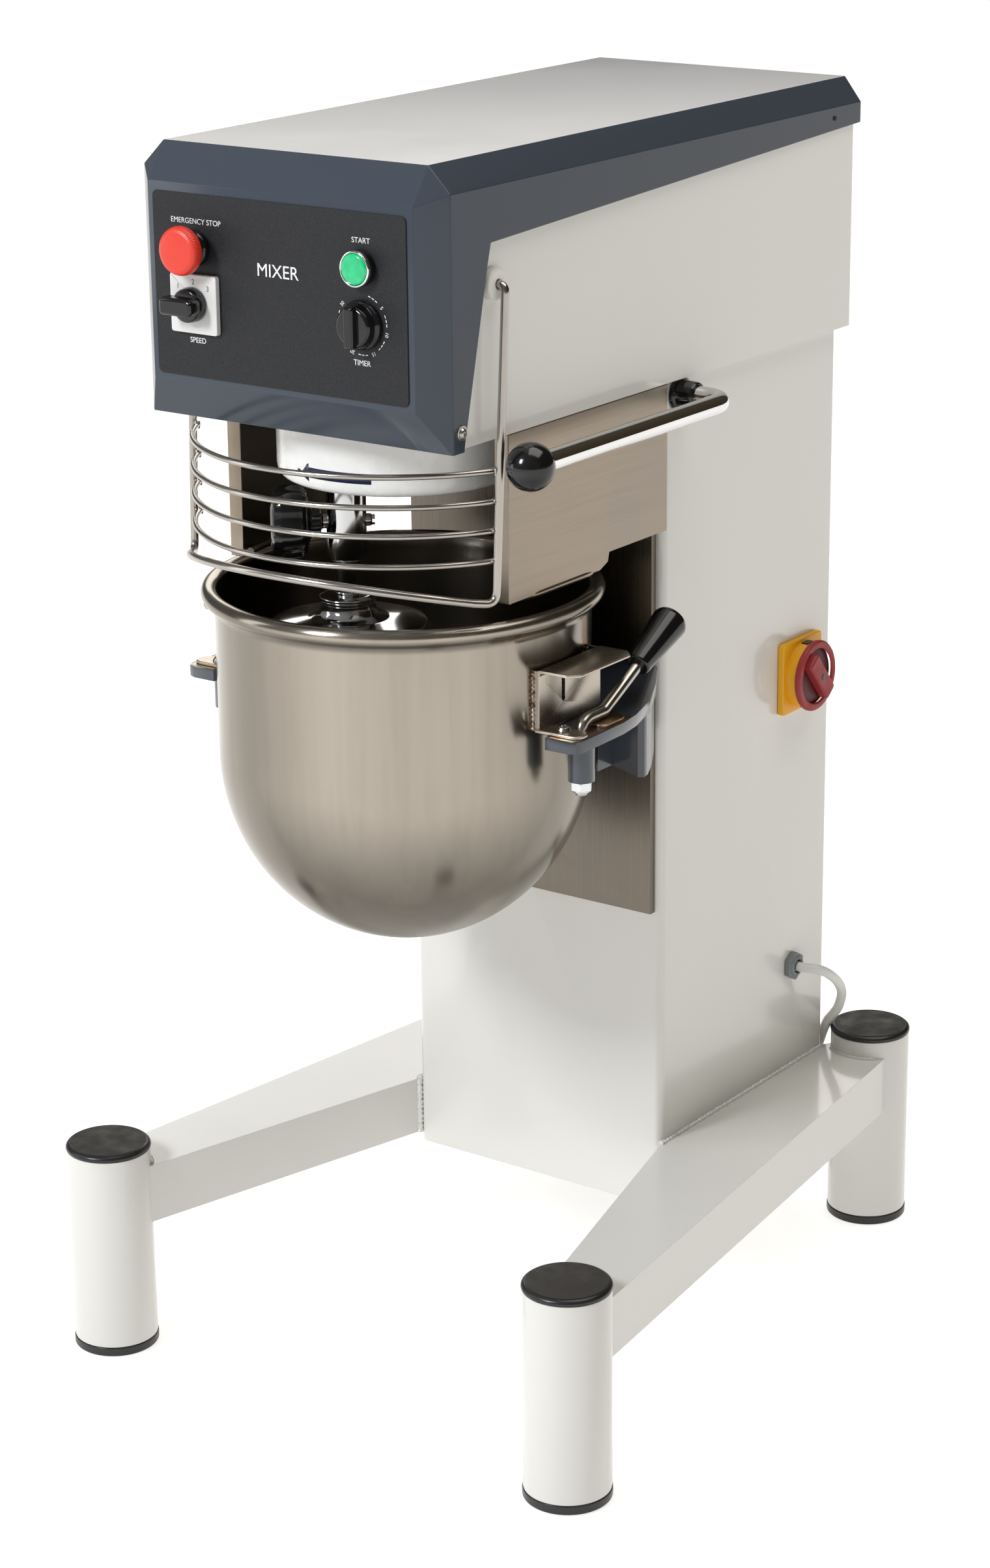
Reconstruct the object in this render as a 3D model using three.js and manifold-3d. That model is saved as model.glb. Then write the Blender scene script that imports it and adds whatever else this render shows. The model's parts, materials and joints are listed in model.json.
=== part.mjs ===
// Floor-standing planetary mixer with a 20 litre bowl, in millimetres.
// +Z is up, the floor is z = 0, the front faces -Y and x = 0 is the plane of symmetry.
import * as THREE from "three";
import { ConvexGeometry } from "three/addons/geometries/ConvexGeometry.js";
import { mergeVertices } from "three/addons/utils/BufferGeometryUtils.js";
import Module from "manifold-3d";

const wasm = await Module();
wasm.setup();

// Driving dimensions
const GAP = 0.3; // clearance between pieces that touch
const SHEET = 2; // sheet steel of the covers
const LEG = { radius: 38.05, wall: 3, height: 199.5, cap: 6, foot: 9 };
const FRONT_LEG = { x: 252.9, y: -303.2 };
const REAR_LEG = { x: 176.4, y: 331.1 };
const BEAM = { bottom: 120.8, top: 176.4, wall: 4 };
const COLUMN = { half: 138.1, front: 15, back: 306.4, bottom: 112.8, wall: 3 };
const HEAD = { half: 147, front: -295, back: 316.9, bottom: 889, top: 1086, wall: 2.5 };
const HOOD = {
  top: 1114.2, front: -332.9, back: 319.5, faceHalf: 133.3, faceLow: 923.5,
  sideFront: 154.5, sideBack: 150.5, bevel: 20.9,
};
const PANEL = { half: 127.9, low: 928, high: 1077.3, thick: 1, corner: 5 };
const BOWL_Y = -177.6; // axis of the bowl and of the planetary drum
const BOWL = { rimZ: 730.6, rimRing: 165, bead: 7.2, radius: 160.5, curveZ: 590, bottom: 421, wall: 2 };
const LIFT = { axisY: 37, axisZ: 874, crank: 67 };
const RING_TEETH = 42;
const PLANET_TEETH = 14;
const MODULE = 3.35;
const PLANET_ANGLE = THREE.MathUtils.degToRad(-140);
const PLANET_OFFSET = (MODULE * (RING_TEETH - PLANET_TEETH)) / 2;
const PLANET = {
  x: PLANET_OFFSET * Math.cos(PLANET_ANGLE),
  y: BOWL_Y + PLANET_OFFSET * Math.sin(PLANET_ANGLE),
};
const DRUM = { radius: 104, bottom: 830.5, top: 886, wall: 4 };
const TOOL_CLAMP_Z = 789;
const LOCK = { x: 190, y: -188, bossLow: 594 }; // pivot of the lock lever in the yoke's right tip
const MOTOR = { y: 205, radius: 62, bottom: 800, top: 985 };
const BELT = { z: 1014, height: 13, thick: 7, driven: 84, drive: 34 };
const GUARD = { pivotY: -250, pivotZ: 1015, rod: 3.5, wire: 2.5, ring: 174, rail: 179 };
const BALL_RADIUS = 20;
const DECK = { low: 627, top: 637 }; // flat top of the bowl yoke
const CORD = { radius: 4.7, coilX: -40, coilY: 362, coilRadius: 41, coilHeight: 28.8 };
const CONTROL_X = 84;
const CONTROL = { estopZ: 1034, startZ: 1034, speedZ: 989, timerZ: 989 };
const SWITCH_HOLE = 11.3; // radius of a panel cut-out for a push button
const SHAFT_HOLE = 3.6; // radius of a panel cut-out for a knob's shaft
const ISOLATOR = { y: 243.5, z: 572.5 }; // main switch on the column's side
const GLAND = { y: 242.7, z: 280.4 }; // where the mains cable leaves the column's side

const paint = (color, roughness = 0.35, metalness = 0) =>
  new THREE.MeshStandardMaterial({ color, roughness, metalness });
const CREAM = paint(0xe4e2d6);
const SLATE = paint(0x4a525c);
const CASTING = paint(0x3f4652, 0.4);
const STAINLESS = paint(0xb9b4ac, 0.3, 1);
const POLISHED = paint(0xc9c6c0, 0.12, 1);
const CHROME = paint(0xd8d8d8, 0.08, 1);
const IRON = paint(0x4b4d50, 0.6, 0.8);
const BLACK = paint(0x151516, 0.4);
const LABEL = paint(0x23262b, 0.5);
const RUBBER = paint(0x1b1b1b, 0.8);
const WHITE = paint(0xf2f2ef, 0.3);
const RED = paint(0xd3261f, 0.4);
const GREEN = paint(0x18a558, 0.3);
const YELLOW = paint(0xf2b705, 0.4);
const GREY_PLASTIC = paint(0x6d7478, 0.5);

const v3 = (x, y, z) => new THREE.Vector3(x, y, z);
const mixer = new THREE.Group();

// A closed geometry as a manifold solid with its faces pointing out.
function solid(geometry) {
  const bare = geometry.index ? geometry.toNonIndexed() : geometry.clone();
  bare.deleteAttribute("normal");
  bare.deleteAttribute("uv");
  const merged = mergeVertices(bare, 1e-4);
  const vertProperties = new Float32Array(merged.attributes.position.array);
  const triVerts = [];
  for (let i = 0; i < merged.index.count; i += 3) {
    const [a, b, c] = merged.index.array.slice(i, i + 3);
    if (a !== b && b !== c && c !== a) triVerts.push(a, b, c);
  }
  const build = (order) =>
    new wasm.Manifold(new wasm.Mesh({ numProp: 3, vertProperties, triVerts: new Uint32Array(order) }));
  const made = build(triVerts);
  return made.volume() < 0 ? build(triVerts.reverse()) : made;
}

const join = (first, ...rest) => rest.reduce((sum, next) => sum.add(next), first);
const cut = (first, ...rest) => rest.reduce((left, next) => left.subtract(next), first);

// Adds a named piece to the mixer.
function piece(name, shape, material) {
  const { vertProperties, triVerts } = shape.getMesh();
  const geometry = new THREE.BufferGeometry();
  geometry.setAttribute("position", new THREE.BufferAttribute(vertProperties, 3));
  geometry.setIndex(new THREE.BufferAttribute(triVerts, 1));
  geometry.computeVertexNormals();
  const mesh = new THREE.Mesh(geometry, material);
  mesh.name = name;
  mixer.add(mesh);
}

// A box between two opposite corners.
function block(low, high) {
  const size = high.clone().sub(low);
  const middle = high.clone().add(low).multiplyScalar(0.5);
  return solid(new THREE.BoxGeometry(size.x, size.y, size.z).translate(middle.x, middle.y, middle.z));
}

// A solid of revolution: the profile holds [radius, height] pairs and is closed by its first point.
function turned(profile, centre = v3(0, 0, 0), axis = "z", sides = 24) {
  const points = [...profile, profile[0]].map(([r, h]) => new THREE.Vector2(r, h));
  const geometry = new THREE.LatheGeometry(points, sides);
  if (axis === "z") geometry.rotateX(Math.PI / 2);
  if (axis === "x") geometry.rotateZ(-Math.PI / 2);
  return solid(geometry.translate(centre.x, centre.y, centre.z));
}

// A flat plate: outline in the plane across the axis, from low to high along it.
function plate(outline, low, high, axis = "z") {
  const drawn = outline instanceof THREE.Shape;
  const shape = drawn ? outline : new THREE.Shape(outline.map(([a, b]) => new THREE.Vector2(a, b)));
  const options = { depth: high - low, bevelEnabled: false, curveSegments: 4 };
  const geometry = new THREE.ExtrudeGeometry(shape, options);
  geometry.translate(0, 0, low);
  if (axis === "x") {
    const basis = new THREE.Matrix4().makeBasis(v3(0, 1, 0), v3(0, 0, 1), v3(1, 0, 0));
    geometry.applyMatrix4(basis);
  }
  if (axis === "y") {
    geometry.rotateX(Math.PI / 2);
    geometry.scale(1, -1, 1);
  }
  return solid(geometry);
}

// An outline with round corners.
function roundedRect(lowA, lowB, highA, highB, radius) {
  const shape = new THREE.Shape();
  shape.moveTo(lowA + radius, lowB);
  shape.absarc(highA - radius, lowB + radius, radius, -Math.PI / 2, 0);
  shape.absarc(highA - radius, highB - radius, radius, 0, Math.PI / 2);
  shape.absarc(lowA + radius, highB - radius, radius, Math.PI / 2, Math.PI);
  shape.absarc(lowA + radius, lowB + radius, radius, Math.PI, 1.5 * Math.PI);
  return shape;
}

// Points on an arc of the XY plane, angles in degrees.
function arc(centreX, centreY, radius, from, to, steps) {
  return Array.from({ length: steps + 1 }, (_, i) => {
    const angle = THREE.MathUtils.degToRad(from + ((to - from) * i) / steps);
    return [centreX + radius * Math.cos(angle), centreY + radius * Math.sin(angle)];
  });
}

// A round bar between two points.
function bar(start, end, radius, sides = 12, endRadius = radius) {
  const along = end.clone().sub(start);
  const geometry = new THREE.CylinderGeometry(endRadius, radius, along.length(), sides);
  const turn = new THREE.Quaternion().setFromUnitVectors(v3(0, 1, 0), along.clone().normalize());
  geometry.applyQuaternion(turn);
  const middle = start.clone().add(end).multiplyScalar(0.5);
  return solid(geometry.translate(middle.x, middle.y, middle.z));
}

// A path that passes through each of its points, one step of a sweep to each.
class PointPath extends THREE.Curve {
  constructor(points) {
    super();
    this.points = points;
  }
  getPointAt(t) {
    return this.points[Math.round(t * (this.points.length - 1))].clone();
  }
  getTangentAt(t) {
    const index = Math.round(t * (this.points.length - 1));
    const after = this.points[Math.min(index + 1, this.points.length - 1)];
    return after.clone().sub(this.points[Math.max(index - 1, 0)]).normalize();
  }
}

// The corners of a bent rod, each replaced by points along a bend of the given radius.
function bend(corners, radius, stepsPerBend = 4) {
  const points = [corners[0]];
  for (let i = 1; i < corners.length - 1; i++) {
    const into = corners[i].clone().sub(corners[i - 1]).normalize();
    const out = corners[i + 1].clone().sub(corners[i]).normalize();
    const setback = radius * Math.tan(into.angleTo(out) / 2);
    const start = corners[i].clone().addScaledVector(into, -setback);
    const end = corners[i].clone().addScaledVector(out, setback);
    const curve = new THREE.QuadraticBezierCurve3(start, corners[i], end);
    points.push(...curve.getPoints(stepsPerBend));
  }
  points.push(corners[corners.length - 1]);
  return points;
}

// A round section swept along points.
function swept(points, radius, sides = 8) {
  const section = new THREE.Shape(
    Array.from({ length: sides }, (_, i) => {
      const angle = (2 * Math.PI * (i + 0.5)) / sides;
      return new THREE.Vector2(radius * Math.cos(angle), radius * Math.sin(angle));
    }),
  );
  const options = { steps: points.length - 1, extrudePath: new PointPath(points), bevelEnabled: false };
  return solid(new THREE.ExtrudeGeometry(section, options));
}

// A hull of corner points, each mirrored to both sides of x = 0.
function mirroredHull(corners) {
  return solid(new ConvexGeometry(corners.flatMap(([x, y, z]) => [v3(x, y, z), v3(-x, y, z)])));
}

const SIDES = [
  ["left", -1],
  ["right", 1],
];
const mirrorIn = (side, shape) => (side < 0 ? shape.mirror([1, 0, 0]) : shape);

// Legs: steel tubes with a plastic cap on top and a plastic foot below.
function legs() {
  const { radius, wall, height, cap, foot } = LEG;
  const bore = radius - wall;
  const plug = bore - 1.5;
  for (const [end, place] of [
    ["front", FRONT_LEG],
    ["rear", REAR_LEG],
  ]) {
    for (const [sideName, side] of SIDES) {
      const name = `${end}_${sideName}`;
      const centre = v3(side * place.x, place.y, 0);
      const low = foot + GAP;
      const high = height - cap - GAP;
      const tube = [[bore, low], [radius, low], [radius, high], [bore, high]];
      piece(`leg_${name}`, turned(tube, centre, "z", 20), CREAM);
      const capProfile = [
        [0, height - 20], [plug, height - 20], [plug, height - cap],
        [radius + 0.6, height - cap], [radius - 0.5, height], [0, height],
      ];
      piece(`leg_cap_${name}`, turned(capProfile, centre, "z", 18), BLACK);
      const footProfile = [
        [0, 0], [radius, 0], [radius + 0.6, foot], [plug, foot], [plug, 24], [0, 24],
      ];
      piece(`foot_${name}`, turned(footProfile, centre, "z", 18), BLACK);
    }
  }
}

// Base beams: tapered steel boxes between the column and the legs, with a drain hole below.
function baseBeams() {
  const { bottom, top, wall } = BEAM;
  const inner = COLUMN.half + GAP;
  const outline = [
    [inner, COLUMN.front], [222.4, -303], [280, -303],
    [204, 331], [150, 331], [inner, COLUMN.back],
  ];
  const hollow = [
    [inner + wall, COLUMN.front + 1], [226, -290], [274, -290],
    [201, 318], [156, 318], [inner + wall, COLUMN.back],
  ];
  const drain = bar(v3(185, 100, bottom - 1), v3(185, 100, bottom + wall + 1), 6, 8);
  const legRoom = [FRONT_LEG, REAR_LEG].map((leg) =>
    bar(v3(leg.x, leg.y, 100), v3(leg.x, leg.y, 190), LEG.radius + GAP, 20),
  );
  const beam = cut(plate(outline, bottom, top), plate(hollow, bottom + wall, top - wall), drain, ...legRoom);
  for (const [name, side] of SIDES) piece(`base_beam_${name}`, mirrorIn(side, beam), CREAM);
}

// Column: an upright box of folded sheet, open at both ends, with a slot for the bowl carriage.
function column() {
  const { half, front, back, bottom, wall } = COLUMN;
  const top = HEAD.bottom - GAP;
  const outside = plate(roundedRect(-half, front, half, back, 8), bottom, top);
  const inside = block(v3(-half + wall, front + wall, bottom - 1), v3(half - wall, back - wall, top + 1));
  const slot = block(v3(-26, front - 1, 446), v3(26, front + wall + 1, 690));
  const onAxis = (x) => v3(x, LIFT.axisY, LIFT.axisZ);
  const shaftHole = bar(onAxis(half - wall - 1), onAxis(half + 1), 12, 12);
  piece("column", cut(outside, inside, slot, shaftHole), CREAM);
}

// Stainless cover on the column's front, with its edges folded back.
function facePlate() {
  const front = 8;
  const back = COLUMN.front - GAP;
  const tray = cut(
    block(v3(-131, front, 402), v3(131, back, HEAD.bottom - GAP)),
    block(v3(-129.5, front + 1.5, 403.5), v3(129.5, back + 1, HEAD.bottom + 1)),
    block(v3(-26, front - 1, 446), v3(26, back, 690)),
  );
  piece("face_plate", tray, STAINLESS);
}

// Head housing: a tub of folded sheet that carries the drive, open above.
function headHousing() {
  const { half, front, back, bottom, top, wall } = HEAD;
  const shell = cut(
    plate(roundedRect(-half, front, half, back, 6), bottom, top),
    block(v3(-half + wall, front + wall, bottom + 4), v3(half - wall, back - wall, top + 1)),
    bar(v3(0, BOWL_Y, bottom - 1), v3(0, BOWL_Y, bottom + 5), DRUM.radius + 4, 32),
    block(v3(-118, 25, bottom - 1), v3(118, 285, bottom + 5)),
  );
  piece("head_housing", shell, CREAM);
}

// Hood: a thin painted cover with bevelled corners and a cut-away lower edge at the sides.
// The inner hull stays one sheet inside the outer one, and runs out below it.
function hoodCorners(inset) {
  const { top, front, back, faceHalf, faceLow, sideFront, sideBack, bevel } = HOOD;
  const low = HEAD.bottom - 0.4;
  const runOut = inset ? 10 : 0;
  const lean = bevel / (faceLow - low);
  const lowFront = front + bevel + runOut * lean + inset * 1.17;
  return [
    [faceHalf - inset, front + 21.5 + inset, top - inset],
    [faceHalf - inset, back - inset, top - inset],
    [sideFront - inset, front + bevel, 1093.5 - inset],
    [sideBack - inset, back - inset, 1092.4 - inset],
    [faceHalf - inset / 2, front + inset, 1084.3 - inset / 2],
    [faceHalf - inset / 2, front + inset, faceLow + inset / 4],
    [sideFront - inset, lowFront, low - runOut],
    [sideBack - inset, back - inset, low - runOut],
  ];
}

function hood() {
  const beyond = HOOD.back + 5;
  const sideCut = [
    [-299, 870], [-296.4, 893.2], [-263.4, 1030.6], [-258.4, 1048.7], [beyond, 1074], [beyond, 870],
  ];
  const front = HOOD.front;
  const hole = (x, z, radius) => bar(v3(x, front - 1, z), v3(x, front + SHEET + 1, z), radius, 16);
  const shell = cut(
    mirroredHull(hoodCorners(0)),
    mirroredHull(hoodCorners(SHEET)),
    plate(sideCut, -200, 200, "x"),
    hole(-CONTROL_X, CONTROL.estopZ, SWITCH_HOLE),
    hole(CONTROL_X, CONTROL.startZ, SWITCH_HOLE),
    hole(-CONTROL_X, CONTROL.speedZ, SHAFT_HOLE),
    hole(CONTROL_X, CONTROL.timerZ, SHAFT_HOLE),
  );
  piece("hood", shell, SLATE);
}

// Control label: a textured sheet on the hood's face, with the same holes.
function controlPanel() {
  const back = HOOD.front - GAP;
  const front = back - PANEL.thick;
  const hole = (x, z, radius) => bar(v3(x, front - 1, z), v3(x, back + 1, z), radius, 16);
  const outline = roundedRect(-PANEL.half, PANEL.low, PANEL.half, PANEL.high, PANEL.corner);
  const sheet = cut(
    plate(outline, front, back, "y"),
    hole(-CONTROL_X, CONTROL.estopZ, SWITCH_HOLE),
    hole(CONTROL_X, CONTROL.startZ, SWITCH_HOLE),
    hole(-CONTROL_X, CONTROL.speedZ, SHAFT_HOLE),
    hole(CONTROL_X, CONTROL.timerZ, SHAFT_HOLE),
  );
  piece("control_panel", sheet, LABEL);
}

// Push buttons, switches and knobs. Heights in these profiles are y, so smaller is further forward.
function controls() {
  const face = HOOD.front - GAP - PANEL.thick;
  const at = (x, z) => v3(x, 0, z);
  const barrel = SWITCH_HOLE - 0.4;
  const collar = [
    [6, -300], [6, -341.5], [13, -341.5], [15, -339.5],
    [15, face - GAP], [barrel, face - GAP], [barrel, -300],
  ];
  piece("estop_collar", turned(collar, at(-CONTROL_X, CONTROL.estopZ), "y", 20), CHROME);
  const mushroom = [
    [0, -310], [5.6, -310], [5.6, -347.5], [17, -347.5],
    [20, -350], [20, -355], [18, -358.5], [12, -360], [0, -360],
  ];
  piece("estop_button", turned(mushroom, at(-CONTROL_X, CONTROL.estopZ), "y", 24), RED);
  const bezel = [
    [9.8, -305], [9.8, -337.8], [12.6, -337.8], [12.6, -343.6], [14, -343.6],
    [14.5, -343], [14.5, face - GAP], [barrel, face - GAP], [barrel, -305],
  ];
  piece("start_bezel", turned(bezel, at(CONTROL_X, CONTROL.startZ), "y", 20), CHROME);
  const lens = [
    [0, -315], [9.4, -315], [9.4, -341.3], [12.2, -341.3], [12.2, -344], [11, -345], [0, -345.4],
  ];
  piece("start_button", turned(lens, at(CONTROL_X, CONTROL.startZ), "y", 20), GREEN);
  speedSelector(face - GAP);
  timerKnob(face);
}

// Speed selector: a square plate with a pointer knob on it.
function speedSelector(back) {
  const x = -CONTROL_X;
  const z = CONTROL.speedZ;
  const half = 24;
  const front = back - 5;
  const outline = roundedRect(x - half, z - half, x + half, z + half, 2.5);
  const shaftHole = bar(v3(x, front - 10, z), v3(x, back + 5, z), SHAFT_HOLE, 12);
  piece("selector_plate", cut(plate(outline, front, back, "y"), shaftHole), GREY_PLASTIC);
  const low = front - GAP;
  const hub = [[0, -312], [3.2, -312], [3.2, low], [14.5, low], [13.5, -350], [0, -350]];
  const pointer = block(v3(x - 20, -360, z - 7.5), v3(x + 14, -344, z + 7.5));
  piece("speed_knob", join(turned(hub, v3(x, 0, z), "y", 16), pointer), BLACK);
}

// Timer knob: a skirt with a raised bar across it.
function timerKnob(face) {
  const x = CONTROL_X;
  const z = CONTROL.timerZ;
  const hub = [
    [0, -312], [3.2, -312], [3.2, face - GAP], [20, face - GAP],
    [20, face - 4], [16, face - 6], [15, face - 14], [0, face - 14],
  ];
  const ridge = block(v3(x - 4, face - 20, z - 17), v3(x + 4, face - 6, z + 17));
  piece("timer_knob", join(turned(hub, v3(x, 0, z), "y", 24), ridge), BLACK);
}

// Side splash guards: flat plates with a folded top and front edge and a lip beside the bowl's rim.
function sideGuards() {
  const outer = HEAD.half;
  const thick = 1.5;
  const fold = 14;
  const front = -228;
  const back = 7;
  const top = HEAD.bottom - GAP;
  const outline = [
    [front, 747], [-96, 747], [-84, 752], [-82, 760], [back, 760], [back, top], [front, top],
  ];
  const panel = plate(outline, outer - thick, outer, "x");
  const roof = block(v3(outer - fold, front, top - thick), v3(outer - thick / 2, back, top));
  const frontFold = block(v3(outer - fold, front, 747), v3(outer - thick / 2, front + thick, top));
  const guard = join(panel, roof, frontFold);
  for (const [name, side] of SIDES) piece(`side_guard_${name}`, mirrorIn(side, guard), STAINLESS);
}

// A gear outline: teeth point out for a positive side and in for a negative one.
function gearOutline(teeth, phase, side) {
  const pitch = (MODULE * teeth) / 2;
  const root = pitch - side * 2.9;
  const tip = pitch + side * 2.1;
  const points = [];
  for (let i = 0; i < teeth; i++) {
    const middle = phase + (2 * Math.PI * i) / teeth;
    for (const [radius, offset] of [[root, -2.1], [tip, -0.8], [tip, 0.8], [root, 2.1]]) {
      const angle = middle + offset / pitch;
      points.push([radius * Math.cos(angle), radius * Math.sin(angle)]);
    }
  }
  return points;
}

// Planetary drive: fixed housing and ring gear, rotating drum, shafts, belt and motor.
function gearHousing() {
  const low = HEAD.bottom + 4 + GAP;
  const profile = [
    [14.6, low + 0.2], [74, low + 0.2], [74, 879], [84, 879], [84, low], [112, low], [112, low + 9],
    [44, low + 9], [32, 1000], [14.6, 1000],
  ];
  piece("gear_housing", turned(profile, v3(0, BOWL_Y, 0), "z", 20), IRON);
  const toothGap = PLANET_ANGLE + Math.PI / RING_TEETH;
  const teeth = gearOutline(RING_TEETH, toothGap, -1).map(([x, y]) => [x, y + BOWL_Y]);
  const disc = bar(v3(0, BOWL_Y, 860), v3(0, BOWL_Y, 878.7), 84, 20);
  piece("ring_gear", cut(disc, plate(teeth, 859, 880)), IRON);
}

function planetaryDrum() {
  const { radius, bottom, top, wall } = DRUM;
  const profile = [
    [12.4, bottom], [radius - 9, bottom], [radius - 2.6, bottom + 2.6], [radius, bottom + 9],
    [radius, top], [radius - wall, top], [radius - wall, bottom + 8], [12.4, bottom + 8],
  ];
  const planetHole = bar(v3(PLANET.x, PLANET.y, bottom - 1), v3(PLANET.x, PLANET.y, bottom + 9), 18, 16);
  piece("planetary_drum", cut(turned(profile, v3(0, BOWL_Y, 0), "z", 28), planetHole), WHITE);
  const shaft = [
    [0, bottom - 4], [15, bottom - 4], [15, bottom - GAP], [12, bottom - GAP], [12, bottom + 8.5],
    [14, bottom + 8.5], [14, 1003], [11, 1003], [11, 1032], [0, 1032],
  ];
  piece("main_shaft", turned(shaft, v3(0, BOWL_Y, 0), "z", 16), IRON);
}

// A grooved pulley around a shaft on the line x = 0.
function pulley(y, radius, bore, sides) {
  const rim = radius + 4;
  const groove = BELT.height / 2;
  const half = groove + 4;
  const profile = [
    [bore, -half], [rim, -half], [rim, -groove - 1], [radius, -groove],
    [radius, groove], [rim, groove + 1], [rim, half], [bore, half],
  ];
  return turned(profile, v3(0, y, BELT.z), "z", sides);
}

// The belt's outline is two arcs joined by tangents.
function beltOutline(extra) {
  const lean = Math.asin((BELT.driven - BELT.drive) / (MOTOR.y - BOWL_Y));
  const spread = THREE.MathUtils.radToDeg(lean);
  const near = arc(0, BOWL_Y, BELT.driven + extra, -180 - spread, spread, 16);
  return [...near, ...arc(0, MOTOR.y, BELT.drive + extra, spread, 180 - spread, 8)];
}

function beltDrive() {
  piece("driven_pulley", pulley(BOWL_Y, BELT.driven, 12, 20), IRON);
  const { z, height, thick } = BELT;
  const belt = cut(
    plate(beltOutline(1.5 + thick), z - height / 2 + 0.8, z + height / 2 - 0.8),
    plate(beltOutline(1.5), z - height / 2, z + height / 2),
  );
  piece("drive_belt", belt, RUBBER);
  const shaft = bar(v3(0, MOTOR.y, MOTOR.top - 12), v3(0, MOTOR.y, 1030), 12, 16);
  piece("drive_pulley", join(pulley(MOTOR.y, BELT.drive, 10, 14), shaft), IRON);
}

// Motor: a finned can that hangs from a mounting flange on the head's floor.
function motor() {
  const { y, radius, bottom, top } = MOTOR;
  const profile = [
    [0, bottom], [radius - 6, bottom], [radius, bottom + 6], [radius, top - 20], [30, top],
    [12.4, top], [12.4, top - 14], [0, top - 14],
  ];
  const can = turned(profile, v3(0, y, 0), "z", 20);
  const flange = block(v3(-125, y - 40, HEAD.bottom + 4 + GAP), v3(125, y + 40, HEAD.bottom + 12));
  piece("motor", join(can, flange), GREY_PLASTIC);
}

// Planet shaft with its gear, a socket for the tool and a clamping screw.
function planetDrive() {
  const sleeveLow = 756;
  const sleeve = [
    [10.5, sleeveLow], [15.5, sleeveLow], [17, sleeveLow + 2], [17, 858.4], [16, 858.4], [16, 877], [8, 877],
    [8, 884], [0, 884], [0, 792], [10.5, 792],
  ];
  const gear = plate(
    gearOutline(PLANET_TEETH, PLANET_ANGLE, 1).map(([x, y]) => [x + PLANET.x, y + PLANET.y]), 861, 876,
  );
  const out = v3(Math.cos(PLANET_ANGLE), Math.sin(PLANET_ANGLE), 0);
  const centre = v3(PLANET.x, PLANET.y, TOOL_CLAMP_Z);
  const away = (distance) => centre.clone().addScaledVector(out, distance);
  const pin = bar(away(-24), away(-13), 4.5, 10);
  const studHole = bar(away(5), away(22), 5, 10);
  const shaft = cut(join(turned(sleeve, v3(PLANET.x, PLANET.y, 0), "z", 16), gear, pin), studHole);
  piece("planet_shaft", shaft, CHROME);
  const lobeRing = 23.5;
  const lobes = [0, 1, 2, 3, 4].map((i) => {
    const angle = (2 * Math.PI * i) / 5;
    const across = v3(-out.y, out.x, 0).multiplyScalar(lobeRing * Math.cos(angle));
    const offset = across.add(v3(0, 0, lobeRing * Math.sin(angle)));
    return bar(away(33).add(offset), away(63).add(offset), 9.5, 10);
  });
  const grip = bar(away(31.4), away(65), 24, 20);
  const hub = bar(away(21), away(33), 12, 12);
  const stud = bar(away(11.5), away(25), 4, 8);
  const knob = join(grip, hub, stud, ...lobes);
  piece("clamp_knob", knob, BLACK);
}

// Whisk: stem, collar, guard disc and a balloon of looped wires.
function whisk() {
  const profile = [
    [0, 688], [60, 688], [67, 695], [68, 700], [28, 706], [22, 720], [25, 724], [10, 727],
    [10, 786], [0, 786],
  ];
  const middle = v3(PLANET.x, PLANET.y, 0);
  const loops = [];
  const count = 5;
  for (let i = 0; i < count; i++) {
    const turn = (Math.PI * (i + 0.5)) / count;
    const side = [[50, 692], [61, 650], [67, 600], [64, 550], [52, 505], [32, 472]];
    const point = ([radius, z]) => v3(radius * Math.cos(turn), radius * Math.sin(turn), z).add(middle);
    const away = side.map(point);
    const back = side.map(([radius, z]) => point([-radius, z])).reverse();
    loops.push(swept([...away, point([0, 458 + i * 0.4]), ...back], 2, 4));
  }
  piece("whisk", join(turned(profile, middle, "z", 16), ...loops), POLISHED);
}

// Bowl: a thin spun shell, cylindrical above and half-ellipsoidal below, with a rolled rim.
function bowl() {
  const { rimZ, rimRing, bead, radius, curveZ, bottom, wall } = BOWL;
  const depth = curveZ - bottom;
  const steps = 7;
  const curve = (inset) =>
    Array.from({ length: steps + 1 }, (_, i) => {
      const angle = (Math.PI / 2) * (i / steps);
      return [(radius - inset) * Math.sin(angle), curveZ - (depth - inset) * Math.cos(angle)];
    });
  const rim = [0, 45, 90, 135, 180].map((degrees) => {
    const angle = THREE.MathUtils.degToRad(degrees - 30);
    return [rimRing + bead * Math.cos(angle), rimZ + bead * Math.sin(angle)];
  });
  const profile = [
    ...curve(0), [radius, rimZ - 8], ...rim, [radius - wall, rimZ - 6], ...curve(wall).reverse(),
  ];
  piece("bowl", turned(profile, v3(0, BOWL_Y, 0), "z", 28), POLISHED);
  bowlBrackets();
}

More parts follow.
